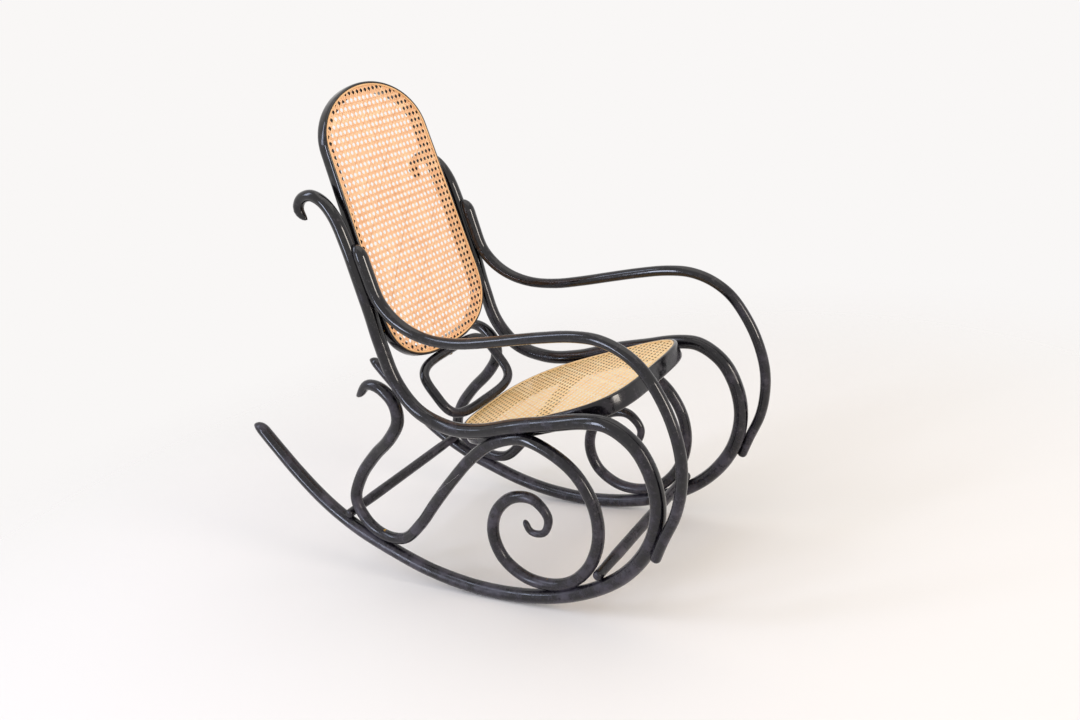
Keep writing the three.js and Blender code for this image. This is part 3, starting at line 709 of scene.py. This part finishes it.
# %% Planes of the hoops
HOOP_PLACE, HOOP_PROUD, HOOP_LEAN = 8.2, 14 * MM, math.radians(20.6)
SEAT_PLACE, SEAT_RISE, SEAT_TILT = 14.1, 3 * MM, math.radians(5)


class HoopPlane:
    """A flat drawing plane in space: an origin, a direction up it and one out of its face."""

    def __init__(self, origin, up):
        self.origin = origin
        self.up = up / np.linalg.norm(up)
        self.out = np.cross(ACROSS, self.up)

    def place(self, flat, depth=0.0):
        flat = np.asarray(flat, float)
        return (self.origin + flat[..., 0:1] * ACROSS + flat[..., 1:2] * self.up
                - np.asarray(depth)[..., None] * self.out)


hoop_middle = side_path[sample_at(HOOP_PLACE)] * np.array([0, 1, 1])
back_up = leaned(math.sin(HOOP_LEAN), math.cos(HOOP_LEAN))
back_front = leaned(-math.cos(HOOP_LEAN), math.sin(HOOP_LEAN))
back_plane = HoopPlane(hoop_middle + HOOP_PROUD * back_front, back_up)

rail_heading = heading(side_path, sample_at(SEAT_PLACE))
seat_slope = math.atan2(rail_heading[2], -rail_heading[1]) + SEAT_TILT
seat_back = np.array([0, math.cos(seat_slope), -math.sin(seat_slope)])
seat_rail = side_path[sample_at(SEAT_PLACE)] * np.array([0, 1, 1])
seat_plane = HoopPlane(seat_rail + SEAT_RISE * leaned(0, 1), seat_back)
print("the back leans %.1f degrees, the seat %.1f" % (
    math.degrees(math.atan2(back_up[1], back_up[2])), math.degrees(seat_slope)))

# %% [markdown]
# Hoops with soft edges
#
# A hoop is one section swept round its outline. The section is a rectangle of beech whose corners are eased
# by hand, with a rebate in its face for the cane. Each corner is given with how far its rounding runs along
# the edge before it and the edge after it, so a corner can be rounder on one face than on the other.

# %% Hoop meshes
HOOP_DEPTH, HOOP_WOOD, HOOP_RIM = 27 * MM, 22 * MM, 5 * MM
SEAT_DEPTH, SEAT_WOOD, SEAT_RIM = 38 * MM, 27 * MM, 7 * MM
CANE_DROP = 4.2 * MM
HOOP_SHARP_DEGREES = 50
CORNER_STEPS = 5
RIM_EASE, INNER_EASE, REBATE_EASE, GROOVE_EASE = 0.8 * MM, 4 * MM, 0.3 * MM, 0.2 * MM
REAR_ROUNDING_SHARE = 0.4
BACK_ROUNDINGS, SEAT_ROUNDINGS = (3.6 * MM, 10 * MM), (5 * MM, 7 * MM)


def outward_normals(outline):
    step = np.roll(outline, -1, axis=0) - np.roll(outline, 1, axis=0)
    normals = np.stack([step[:, 1], -step[:, 0]], axis=1)
    return normals / np.linalg.norm(normals, axis=1)[:, None]


def eased_section(corners):
    """Section points from corners as (inset, depth, ease before, ease after)."""
    flat = [np.array(c[:2]) for c in corners]
    points = []
    for i, (_, _, before, after) in enumerate(corners):
        corner = flat[i]
        back = flat[i - 1] - corner
        ahead = flat[(i + 1) % len(flat)] - corner
        start = corner + back / np.linalg.norm(back) * before
        end = corner + ahead / np.linalg.norm(ahead) * after
        for t in np.linspace(0, 1, CORNER_STEPS):
            points.append((1 - t) ** 2 * start + 2 * t * (1 - t) * corner + t**2 * end)
    return np.array(points)


def sweep_hoop(name, plane, outline, section, material):
    """A closed section, as inset and depth, swept round a closed outline."""
    normals = outward_normals(outline)
    rows = []
    for inset, depth in section:
        rows.append(plane.place(outline - inset * normals, np.full(len(outline), depth)))
    vertices = np.stack(rows, axis=1).reshape(-1, 3)
    count, sides = len(outline), len(section)
    faces = []
    for i in range(count):
        for j in range(sides):
            k, n = (j + 1) % sides, (i + 1) % count
            faces.append((i * sides + j, i * sides + k, n * sides + k, n * sides + j))
    return new_mesh_object(name, vertices, faces, material, HOOP_SHARP_DEGREES)


def hoop_section(wood, depth, rim, roundings):
    across, down = roundings
    return eased_section([
        (rim, 0, RIM_EASE, RIM_EASE),
        (0, 0, across, down),
        (0, depth, down, REAR_ROUNDING_SHARE * wood),
        (wood, depth, INNER_EASE, INNER_EASE),
        (wood, CANE_DROP, REBATE_EASE, REBATE_EASE),
        (rim, CANE_DROP, GROOVE_EASE, GROOVE_EASE),
    ])


back_hoop = sweep_hoop(
    "bent_back_hoop", back_plane, back_line,
    hoop_section(HOOP_WOOD, HOOP_DEPTH, HOOP_RIM, BACK_ROUNDINGS), black_lacquer)
seat_hoop = sweep_hoop(
    "bent_seat_hoop", seat_plane, seat_line,
    hoop_section(SEAT_WOOD, SEAT_DEPTH, SEAT_RIM, SEAT_ROUNDINGS), black_lacquer)
wood_piece(back_hoop, "back_hoop")
wood_piece(seat_hoop, "seat_hoop")
print("hoop faces:", len(back_hoop.data.polygons), "and", len(seat_hoop.data.polygons))

# %% [markdown]
# The loop between back and seat
#
# A thin rod is bent to a rounded square and stands between the back hoop's foot and the seat's rear rim.
# Its two ends meet at the foot, where a hairline shows.

# %% Loop
LOOP_RADIUS = 11 * MM
LOOP_HALF_WIDTH = 125 * MM
LOOP_ROUNDNESS = 4.0
LOOP_POINTS = 72
LOOP_END_EASE = 0.5 * MM
loop_top = (back_plane.origin - (HOOP_WIDEST_DROP + LOOP_RADIUS + CONTACT) * back_up
            - HOOP_DEPTH / 2 * back_front)
loop_foot = (seat_plane.origin + (SEAT_REAR_LENGTH - SEAT_RIM / 2) * seat_back
             + (LOOP_RADIUS + CONTACT) * seat_plane.out)


def make_loop():
    middle = (loop_top + loop_foot) / 2
    up = loop_top - loop_foot
    half_height = np.linalg.norm(up) / 2
    up = up / np.linalg.norm(up)
    points = []
    for i in range(LOOP_POINTS + 1):
        angle = -math.pi / 2 + 2 * math.pi * i / LOOP_POINTS
        x, y = superellipse(LOOP_HALF_WIDTH, half_height, LOOP_ROUNDNESS, angle)
        points.append(middle + x * ACROSS + y * up)
    points[0] = points[0] + SCARF_HAIRLINE * ACROSS
    points[-1] = points[-1] - SCARF_HAIRLINE * ACROSS
    path = relax(catmull_rom(points))
    print("loop: %.2f m long" % lengths_along(path)[-1])
    return make_rod("bent_loop", path, lambda start, end: LOOP_RADIUS, (LOOP_END_EASE, LOOP_END_EASE))


wood_piece(make_loop(), "back_loop")

# %% [markdown]
# Stretchers
#
# Two turned rods lie across the runners and hold the side frames apart. They swell in the middle and end in
# small domes outside the runners. A straight path and a radius that varies along it is all that a lathe does.

# %% Stretchers
STRETCHER_RADIUS, STRETCHER_END_RADIUS = 12.5 * MM, 11 * MM
STRETCHER_OVERHANG, STRETCHER_DOME, STRETCHER_STEPS = 12 * MM, 7 * MM, 60
STRETCHER_NECK, STRETCHER_SWELL = 34 * MM, 104 * MM
STRETCHER_PLACES = {"front_stretcher": 23.5, "rear_stretcher": 30.3}


def stretcher_radius(from_start, from_end):
    from_near = np.minimum(from_start, from_end)
    swell = smoothstep(from_near, STRETCHER_NECK, STRETCHER_SWELL)
    return STRETCHER_END_RADIUS + (STRETCHER_RADIUS - STRETCHER_END_RADIUS) * swell


for node, place in STRETCHER_PLACES.items():
    centre = beside(place, SIDE_ROD_RADIUS + STRETCHER_END_RADIUS - CONTACT) * [0, 1, 1]
    half = RAIL_HALF + STRETCHER_OVERHANG
    path = np.linspace(centre - half * ACROSS, centre + half * ACROSS, STRETCHER_STEPS)
    wood_piece(make_rod(f"turned_{node}", path, stretcher_radius, (STRETCHER_DOME, STRETCHER_DOME)), node)
print("stretchers: %.3f m long" % (2 * half))

# %% [markdown]
# Cane, spline and their colours
#
# Cane is the glossy bark of the rattan palm, split into strands 2 to 4 mm wide. Its colour runs from straw to
# amber from strand to strand and along each one, with fine streaks along the fibre and darker patches. The
# spline that wedges it into the rebate is a thicker reed, a little deeper in colour.

# %% Cane materials
FIBRE_WIDTH = 0.35 * MM
FIBRE_LENGTH = 18 * MM
STRAND_PATCH = 24 * MM
FIBRE_SPREAD, PATCH_SPREAD = 0.45, 0.35


def make_cane_material(name, pale, middle, deep):
    """Split rattan. A strand's shade is in its strand_shade attribute, its fibre runs along its UV map."""
    material, tree = new_material(name)
    shade = add_node(tree, "ShaderNodeAttribute", {"attribute_name": "strand_shade"})
    along = add_node(tree, "ShaderNodeUVMap", {"uv_map": "along_strand"})
    stretch = add_node(tree, "ShaderNodeMapping", inputs={
        "Vector": along.outputs["UV"], "Scale": (1 / FIBRE_LENGTH, 1 / FIBRE_WIDTH, 1.0)})
    fibre = add_node(tree, "ShaderNodeTexNoise", inputs={
        "Vector": stretch.outputs["Vector"], "Scale": 1.0, "Detail": 3.0})
    place = add_node(tree, "ShaderNodeTexCoord").outputs["Object"]
    patch = add_node(tree, "ShaderNodeTexNoise", inputs={
        "Vector": place, "Scale": 1 / STRAND_PATCH, "Detail": 2.0})
    fibre_part = add_node(tree, "ShaderNodeMath", {"operation": "MULTIPLY_ADD"}, {
        0: fibre.outputs["Fac"], 1: FIBRE_SPREAD, 2: shade.outputs["Fac"]})
    total = add_node(tree, "ShaderNodeMath", {"operation": "MULTIPLY_ADD"}, {
        0: patch.outputs["Fac"], 1: PATCH_SPREAD, 2: fibre_part.outputs["Value"]})
    colour = add_node(tree, "ShaderNodeValToRGB", inputs={"Fac": total.outputs["Value"]}, stops=[
        (0.2, pale), (0.55, middle), (0.95, deep)])
    bump = add_node(tree, "ShaderNodeBump", inputs={
        "Height": fibre.outputs["Fac"], "Strength": 0.3, "Distance": 0.15 * MM})
    shader = add_node(tree, "ShaderNodeBsdfPrincipled", inputs={
        "Base Color": colour.outputs["Color"],
        "Roughness": 0.42,
        "IOR": 1.46,
        "Coat Weight": 0.15,
        "Coat Roughness": 0.25,
        "Normal": bump.outputs["Normal"],
    })
    add_node(tree, "ShaderNodeOutputMaterial", inputs={"Surface": shader.outputs["BSDF"]})
    return material


# The seat's sheet is painted paler than the back's. That is painted light for the stronger light on the
# upturned seat, and the back's deeper amber is painted shade. The spread from strand to strand within each
# sheet is the cane's own.
back_cane_painted_shade_material = make_cane_material("split_rattan_amber_painted_shade", "#f1cea3", "#e5ae80", "#c38553")
seat_cane_painted_light_material = make_cane_material("split_rattan_straw_painted_light", "#ffeab8", "#fed490", "#e4ab63")
# The splines follow their sheets. The seat's spline is painted paler, as painted light, and the back's deeper,
# as painted shade.
back_spline_painted_shade_material = make_cane_material("rattan_spline_amber_painted_shade", "#f0ca98", "#e2b07a", "#bd8550")
seat_spline_painted_light_material = make_cane_material("rattan_spline_straw_painted_light", "#fae0b2", "#efca90", "#cf9f62")
print("rattan:", [m.name for m in bpy.data.materials if "rattan" in m.name])


def lay_fibre(piece, uvs, shades):
    """Gives a rattan piece the map that its fibre runs along, and the shade of each vertex."""
    layer = piece.data.uv_layers.new(name="along_strand")
    layer.data.foreach_set("uv", np.array(uvs, np.float32).ravel())
    shade = piece.data.attributes.new("strand_shade", "FLOAT", "POINT")
    shade.data.foreach_set("value", np.array(shades, np.float32))


# %% [markdown]
# Weaving the cane
#
# This is the six-way weave of caned chairs. Pairs of strands run up and across, a pair to each cell, and two
# single strands cross them on the slant, which rounds each opening to an octagon. A cell here is 13 mm wide
# and 15 mm high. Each strand is a flat ribbon with a rounded top that rises and dips by its own thickness
# over and under the others. The seat carries the weight, so its strands are wider. A shader with holes in it
# could fake the net, but not the small shadows and the dark hoop wall that show through it.

# %% Woven cane
CELL_WIDTH, CELL_HEIGHT = 13.05 * MM, 15.0 * MM
PAIR_SPREAD = 1.17
SLANT_SHARE, SLANT_RISE_SHARE, SLANT_OFFSET = 1.09, 1.3, 0.2 * MM
STRAND_THICK = 0.32 * MM
WEAVE_RISE = 0.42 * MM
CANE_LEVEL = 3.0 * MM
SHADE_SPREAD = 0.22
STRAND_SHARP_DEGREES = 80
PARALLEL = 1e-12


def inside_length(outline, point, direction):
    """Where a line through a point enters and leaves a convex outline, as distances from the point."""
    a, b = outline, np.roll(outline, -1, axis=0)
    edge = b - a
    cross = direction[0] * edge[:, 1] - direction[1] * edge[:, 0]
    offset = a - point
    safe = np.where(np.abs(cross) < PARALLEL, PARALLEL, cross)
    distance = (offset[:, 0] * edge[:, 1] - offset[:, 1] * edge[:, 0]) / safe
    share = (offset[:, 0] * direction[1] - offset[:, 1] * direction[0]) / safe
    hits = distance[(share >= 0) & (share < 1) & (np.abs(cross) > PARALLEL)]
    return (hits.min(), hits.max()) if len(hits) > 1 else None


class Weave:
    """Collects the strands of one sheet as a single mesh."""

    def __init__(self, plane, outline, half, seed):
        self.plane = plane
        self.outline = outline
        self.half = half
        self.shades = np.random.default_rng(seed)
        self.vertices, self.faces, self.uvs, self.tones = [], [], [], []
        self.count = 0

    def strand(self, point, direction, half, level, rise, period, phase):
        """One ribbon along a line. It waves about its level, once each way per period."""
        span = inside_length(self.outline, np.array(point), np.array(direction))
        if span is None or span[1] - span[0] < CELL_WIDTH / 2:
            return
        quarter = period / 4
        first = math.floor((span[0] + phase) / quarter) * quarter - phase
        steps = np.arange(first, span[1] + quarter, quarter)
        steps = np.unique(np.clip(steps, span[0], span[1]))
        middle = np.array(point) + steps[:, None] * np.array(direction)
        side = np.array([-direction[1], direction[0]])
        lift = rise * np.cos(2 * math.pi * (steps + phase) / period)
        depth = CANE_LEVEL - level - lift
        rows = [
            self.plane.place(middle - half * side, depth),
            self.plane.place(middle, depth - STRAND_THICK),
            self.plane.place(middle + half * side, depth),
            self.plane.place(middle, depth + STRAND_THICK),
        ]
        vertices = np.stack(rows, axis=1).reshape(-1, 3)
        base, n = self.count, len(steps)
        tone = 0.5 * SHADE_SPREAD + self.shades.normal(0, SHADE_SPREAD / 2)
        start = self.shades.uniform(0, 1)
        for i in range(n - 1):
            for j in range(4):
                k = (j + 1) % 4
                a, b = base + 4 * i, base + 4 * (i + 1)
                self.faces.append((a + j, b + j, b + k, a + k))
                low, high = (j - 1) * half, j * half
                u, v = start + steps[i], start + steps[i + 1]
                self.uvs += [(u, low), (v, low), (v, high), (u, high)]
        self.faces.append((base, base + 1, base + 2, base + 3))
        self.faces.append((base + 4 * n - 1, base + 4 * n - 2, base + 4 * n - 3, base + 4 * n - 4))
        self.uvs += [(start, 0)] * 8
        self.vertices.append(vertices)
        self.tones.append(np.full(4 * n, tone))
        self.count += 4 * n

    def weave(self):
        """Pairs up and across, then the two slanting strands through every cell's corners."""
        reach = np.abs(self.outline).max(axis=0)
        columns = math.ceil(reach[0] / CELL_WIDTH) + 1
        rows = math.ceil(reach[1] / CELL_HEIGHT) + 1
        for column in range(-columns, columns + 1):
            for pair in (-1, 1):
                point = (column * CELL_WIDTH + pair * PAIR_SPREAD * self.half, 0.0)
                self.strand(point, (0.0, 1.0), self.half, 0.0, WEAVE_RISE, CELL_HEIGHT,
                            0.0 if pair > 0 else CELL_HEIGHT / 2)
        for row in range(-rows, rows + 1):
            for pair in (-1, 1):
                point = (0.0, row * CELL_HEIGHT + pair * PAIR_SPREAD * self.half)
                self.strand(point, (1.0, 0.0), self.half, 0.0, WEAVE_RISE, CELL_WIDTH,
                            CELL_WIDTH / 2 if pair > 0 else 0.0)
        diagonal = math.hypot(CELL_WIDTH, CELL_HEIGHT)
        for line in range(-columns - rows, columns + rows + 1):
            for lean in (-1, 1):
                point = ((line + 0.5) * CELL_WIDTH, 0.0)
                direction = (lean * CELL_WIDTH / diagonal, CELL_HEIGHT / diagonal)
                self.strand(point, direction, SLANT_SHARE * self.half, lean * SLANT_OFFSET,
                            SLANT_RISE_SHARE * WEAVE_RISE, diagonal, 0.0 if lean > 0 else diagonal / 2)

    def mesh_object(self, name, material):
        vertices = np.vstack(self.vertices)
        piece = new_mesh_object(name, vertices, self.faces, material, STRAND_SHARP_DEGREES)
        lay_fibre(piece, self.uvs, np.concatenate(self.tones))
        return piece


print("a cell of the weave is %.1f by %.1f mm" % (CELL_WIDTH / MM, CELL_HEIGHT / MM))

# %% [markdown]
# The two sheets
#
# A sheet reaches in under its spline, which holds it all round. The two differ in the width of their strands,
# and in colour: the seat's sheet is painted paler, as painted light on its upturned face, and the back's
# deeper, as painted shade. A seed starts each sheet's random shades, so no two strands look quite the same,
# and the sheet looks the same each time that it is made.

# %% Cane sheets
BACK_STRAND_HALF, SEAT_STRAND_HALF = 1.2 * MM, 1.85 * MM
CANE_TUCK = 2 * MM
BACK_SEED, SEAT_SEED = 7, 11


def cane_piece(piece, *nodes):
    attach(piece, "root")
    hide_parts(*nodes)


def make_cane(name, plane, outline, rim, half, material, seed):
    under_spline = outline - (rim + CANE_TUCK) * outward_normals(outline)
    sheet = Weave(plane, under_spline, half, seed)
    sheet.weave()
    print(name, "has", len(sheet.tones), "strands")
    return sheet.mesh_object(name, material)


back_cane = make_cane(
    "woven_back_cane", back_plane, back_line, HOOP_RIM, BACK_STRAND_HALF, back_cane_painted_shade_material, BACK_SEED)
seat_cane = make_cane(
    "woven_seat_cane", seat_plane, seat_line, SEAT_RIM, SEAT_STRAND_HALF, seat_cane_painted_light_material, SEAT_SEED)
cane_piece(back_cane, "back_cane")
cane_piece(seat_cane, "seat_cane")

# %% [markdown]
# Splines
#
# The spline is a round reed pressed into the groove over the cane's edge. It is swept like the hoops, with a
# domed top, and it wears the same rattan as the strands, in a deeper tone.

# %% Splines
SPLINE_WIDTH, SPLINE_PROUD = 4.4 * MM, 0.4 * MM
SPLINE_GAP, SPLINE_SEAT = 0.3 * MM, 2.4 * MM
SPLINE_STEPS = 9
SPLINE_SHADE = 0.1


def make_spline(name, plane, outline, rim, material):
    angles = np.linspace(math.pi, 0, SPLINE_STEPS)
    middle = rim + SPLINE_GAP + SPLINE_WIDTH / 2
    rise = SPLINE_SEAT + SPLINE_PROUD
    section = [
        (middle + SPLINE_WIDTH / 2 * math.cos(a), SPLINE_SEAT - rise * math.sin(a)) for a in angles
    ]
    piece = sweep_hoop(name, plane, outline, np.array(section), material)
    step = np.linalg.norm(np.roll(outline, -1, axis=0) - outline, axis=1).mean()
    uvs = []
    for i in range(len(outline)):
        for j in range(len(section)):
            u, v = i * step, j * MM
            uvs += [(u, v), (u, v + MM), (u + step, v + MM), (u + step, v)]
    lay_fibre(piece, uvs, np.full(len(piece.data.vertices), SPLINE_SHADE))
    return piece


# The seat's spline wears the paler rattan that is painted light, and the back's wears the deeper one that is
# painted shade.
cane_piece(
    make_spline("pressed_back_spline", back_plane, back_line, HOOP_RIM, back_spline_painted_shade_material), "back_spline")
cane_piece(
    make_spline("pressed_seat_spline", seat_plane, seat_line, SEAT_RIM, seat_spline_painted_light_material), "seat_spline")

# %% [markdown]
# Brass screws
#
# Every joint is drawn tight by a countersunk wood screw. The heads are let into the wood on its hidden side,
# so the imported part's own screws stay, in old brass: a warm metal that has gone brown and dull.

# %% Old brass
TARNISH_PATCH = 3 * MM


def make_old_brass():
    material, tree = new_material("tarnished_brass")
    place = add_node(tree, "ShaderNodeTexCoord").outputs["Object"]
    patch = add_node(tree, "ShaderNodeTexNoise", inputs={
        "Vector": place, "Scale": 1 / TARNISH_PATCH, "Detail": 3.0})
    colour = add_node(tree, "ShaderNodeValToRGB", inputs={"Fac": patch.outputs["Fac"]}, stops=[
        (0.35, "#8a6a32"), (0.7, "#c09a52")])
    rough = add_node(tree, "ShaderNodeMapRange", inputs={
        "Value": patch.outputs["Fac"], "To Min": 0.3, "To Max": 0.55})
    shader = add_node(tree, "ShaderNodeBsdfPrincipled", inputs={
        "Base Color": colour.outputs["Color"], "Metallic": 1.0, "Roughness": rough.outputs["Result"]})
    add_node(tree, "ShaderNodeOutputMaterial", inputs={"Surface": shader.outputs["BSDF"]})
    return material


old_brass = make_old_brass()
screws = [o for name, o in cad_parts.items() if "screw" in name]
for screw in screws:
    screw.data.materials.clear()
    screw.data.materials.append(old_brass)
print(len(screws), "screws in old brass")

# %% [markdown]
# The floor
#
# The chair stands in a plain pale room. Its floor has a matt paint that takes the soft shadow, and further
# out it fades into the white behind it, so no edge of it shows.

# %% Floor
FLOOR_RADIUS, FLOOR_SIDES = 6.0, 64
FADE_START, FADE_END = 0.8, 2.2


def make_floor():
    material, tree = new_material("pale_floor_paint")
    paint = add_node(tree, "ShaderNodeBsdfPrincipled", inputs={
        "Base Color": linear("#f3efeb"), "Roughness": 0.75})
    clear = add_node(tree, "ShaderNodeBsdfTransparent")
    place = add_node(tree, "ShaderNodeTexCoord").outputs["Object"]
    distance = add_node(tree, "ShaderNodeVectorMath", {"operation": "LENGTH"}, {0: place})
    fade = add_node(tree, "ShaderNodeMapRange", {"interpolation_type": "SMOOTHSTEP"}, {
        "Value": distance.outputs["Value"], "From Min": FADE_START, "From Max": FADE_END})
    mixed = add_node(tree, "ShaderNodeMixShader", inputs={
        0: fade.outputs["Result"], 1: paint.outputs["BSDF"], 2: clear.outputs["BSDF"]})
    add_node(tree, "ShaderNodeOutputMaterial", inputs={"Surface": mixed.outputs["Shader"]})
    angles = 2 * math.pi * np.arange(FLOOR_SIDES) / FLOOR_SIDES
    rim = [(FLOOR_RADIUS * math.cos(a), FLOOR_RADIUS * math.sin(a), 0) for a in angles]
    floor = new_mesh_object("floor", rim, [tuple(range(FLOOR_SIDES))], material)


make_floor()
print("floor: fades out from %.1f to %.1f m" % (FADE_START, FADE_END))

# %% [markdown]
# World and lamps
#
# The light is soft and comes from a tall window on each side, a skylight and the ceiling. Windows draw the
# long thin streaks that a glossy rod shows, and the skylight hangs where its streak runs along the near rail
# and arm. The camera and reflections see the world as white. As a light the world is dimmer, so that the
# lamps shape the wood and the cane.

# %% World and lamps


def make_world():
    world = bpy.data.worlds.new("pale_room")
    bpy.context.scene.world = world
    world.use_nodes = True
    tree = world.node_tree
    tree.nodes.clear()
    rays = add_node(tree, "ShaderNodeLightPath")
    seen = add_node(tree, "ShaderNodeMath", {"operation": "MAXIMUM"}, {
        0: rays.outputs["Is Camera Ray"], 1: rays.outputs["Is Transmission Ray"]})
    shown = add_node(tree, "ShaderNodeMath", {"operation": "MAXIMUM"}, {
        0: seen.outputs["Value"], 1: rays.outputs["Is Glossy Ray"]})
    room = add_node(tree, "ShaderNodeBackground", inputs={"Color": linear("#f4f3f2"), "Strength": 0.75})
    white = add_node(tree, "ShaderNodeBackground", inputs={"Color": linear("#f9f7f6"), "Strength": 1.0})
    mixed = add_node(tree, "ShaderNodeMixShader", inputs={
        0: shown.outputs["Value"], 1: room.outputs["Background"], 2: white.outputs["Background"]})
    add_node(tree, "ShaderNodeOutputWorld", inputs={"Surface": mixed.outputs["Shader"]})


def add_lamp(name, place, target, size, energy, colour):
    lamp = bpy.data.lights.new(name, "AREA")
    lamp.shape = "RECTANGLE"
    lamp.size, lamp.size_y = size
    lamp.energy = energy
    lamp.color = linear(colour)[:3]
    lamp_object = bpy.data.objects.new(name, lamp)
    lamp_object.location = place
    lamp_object.rotation_euler = (Vector(target) - Vector(place)).to_track_quat("-Z", "Y").to_euler()
    bpy.context.scene.collection.objects.link(lamp_object)


make_world()
add_lamp("left_window", (-5.0, 1.8, 1.35), (0, 0.1, 1.0), (0.8, 2.5), 102, "#dde6ff")
add_lamp("right_window", (-0.8, -5.8, 1.5), (0, 0, 1.0), (1.5, 2.5), 185, "#fff5ea")
add_lamp("skylight", (-2.1, 2.3, 3.0), (0, 0, 0.4), (0.6, 2.8), 42, "#d9e4ff")
add_lamp("ceiling", (0.4, -1.0, 4.0), (0, 0, 0.0), (3.6, 3.6), 33, "#fffbf4")
print("lamps:", [lamp.name for lamp in bpy.data.lights])

# %% [markdown]
# The camera
#
# The camera stands to the front right of the chair, above its top, and looks down at it. Its turn, tilt,
# place and lens were found by lining the drawing's two mirrored sides up with each other, so they are given
# in the drawing and leaned with it.

# %% Camera
VIEW_TURN = math.radians(58.934)
VIEW_TILT = math.radians(25.235)
CAMERA_PLACE = (-1.6994, -1.1640, 1.4398)
FOCAL_PIXELS, PHOTO_WIDTH = 999.25, 1080


def make_camera():
    camera = bpy.data.cameras.new("camera")
    camera.sensor_fit = "HORIZONTAL"
    camera.lens = camera.sensor_width * FOCAL_PIXELS / PHOTO_WIDTH
    sweep = math.cos(VIEW_TURN) * math.cos(VIEW_TILT)
    view = math.sin(VIEW_TURN) * math.cos(VIEW_TILT) * ACROSS + leaned(sweep, -math.sin(VIEW_TILT))
    right = math.cos(VIEW_TURN) * ACROSS + leaned(-math.sin(VIEW_TURN), 0)
    up = np.cross(right, view)
    x, y, z = CAMERA_PLACE
    camera_object = bpy.data.objects.new("camera", camera)
    axes = Matrix((right, up, -view)).transposed()
    camera_object.matrix_world = Matrix.Translation(x * ACROSS + leaned(y, z) + REST_SHIFT) @ axes.to_4x4()
    bpy.context.scene.collection.objects.link(camera_object)
    bpy.context.scene.camera = camera_object


make_camera()
bpy.context.scene.view_settings.view_transform = "Standard"
print("lens: %.1f mm" % bpy.context.scene.camera.data.lens)
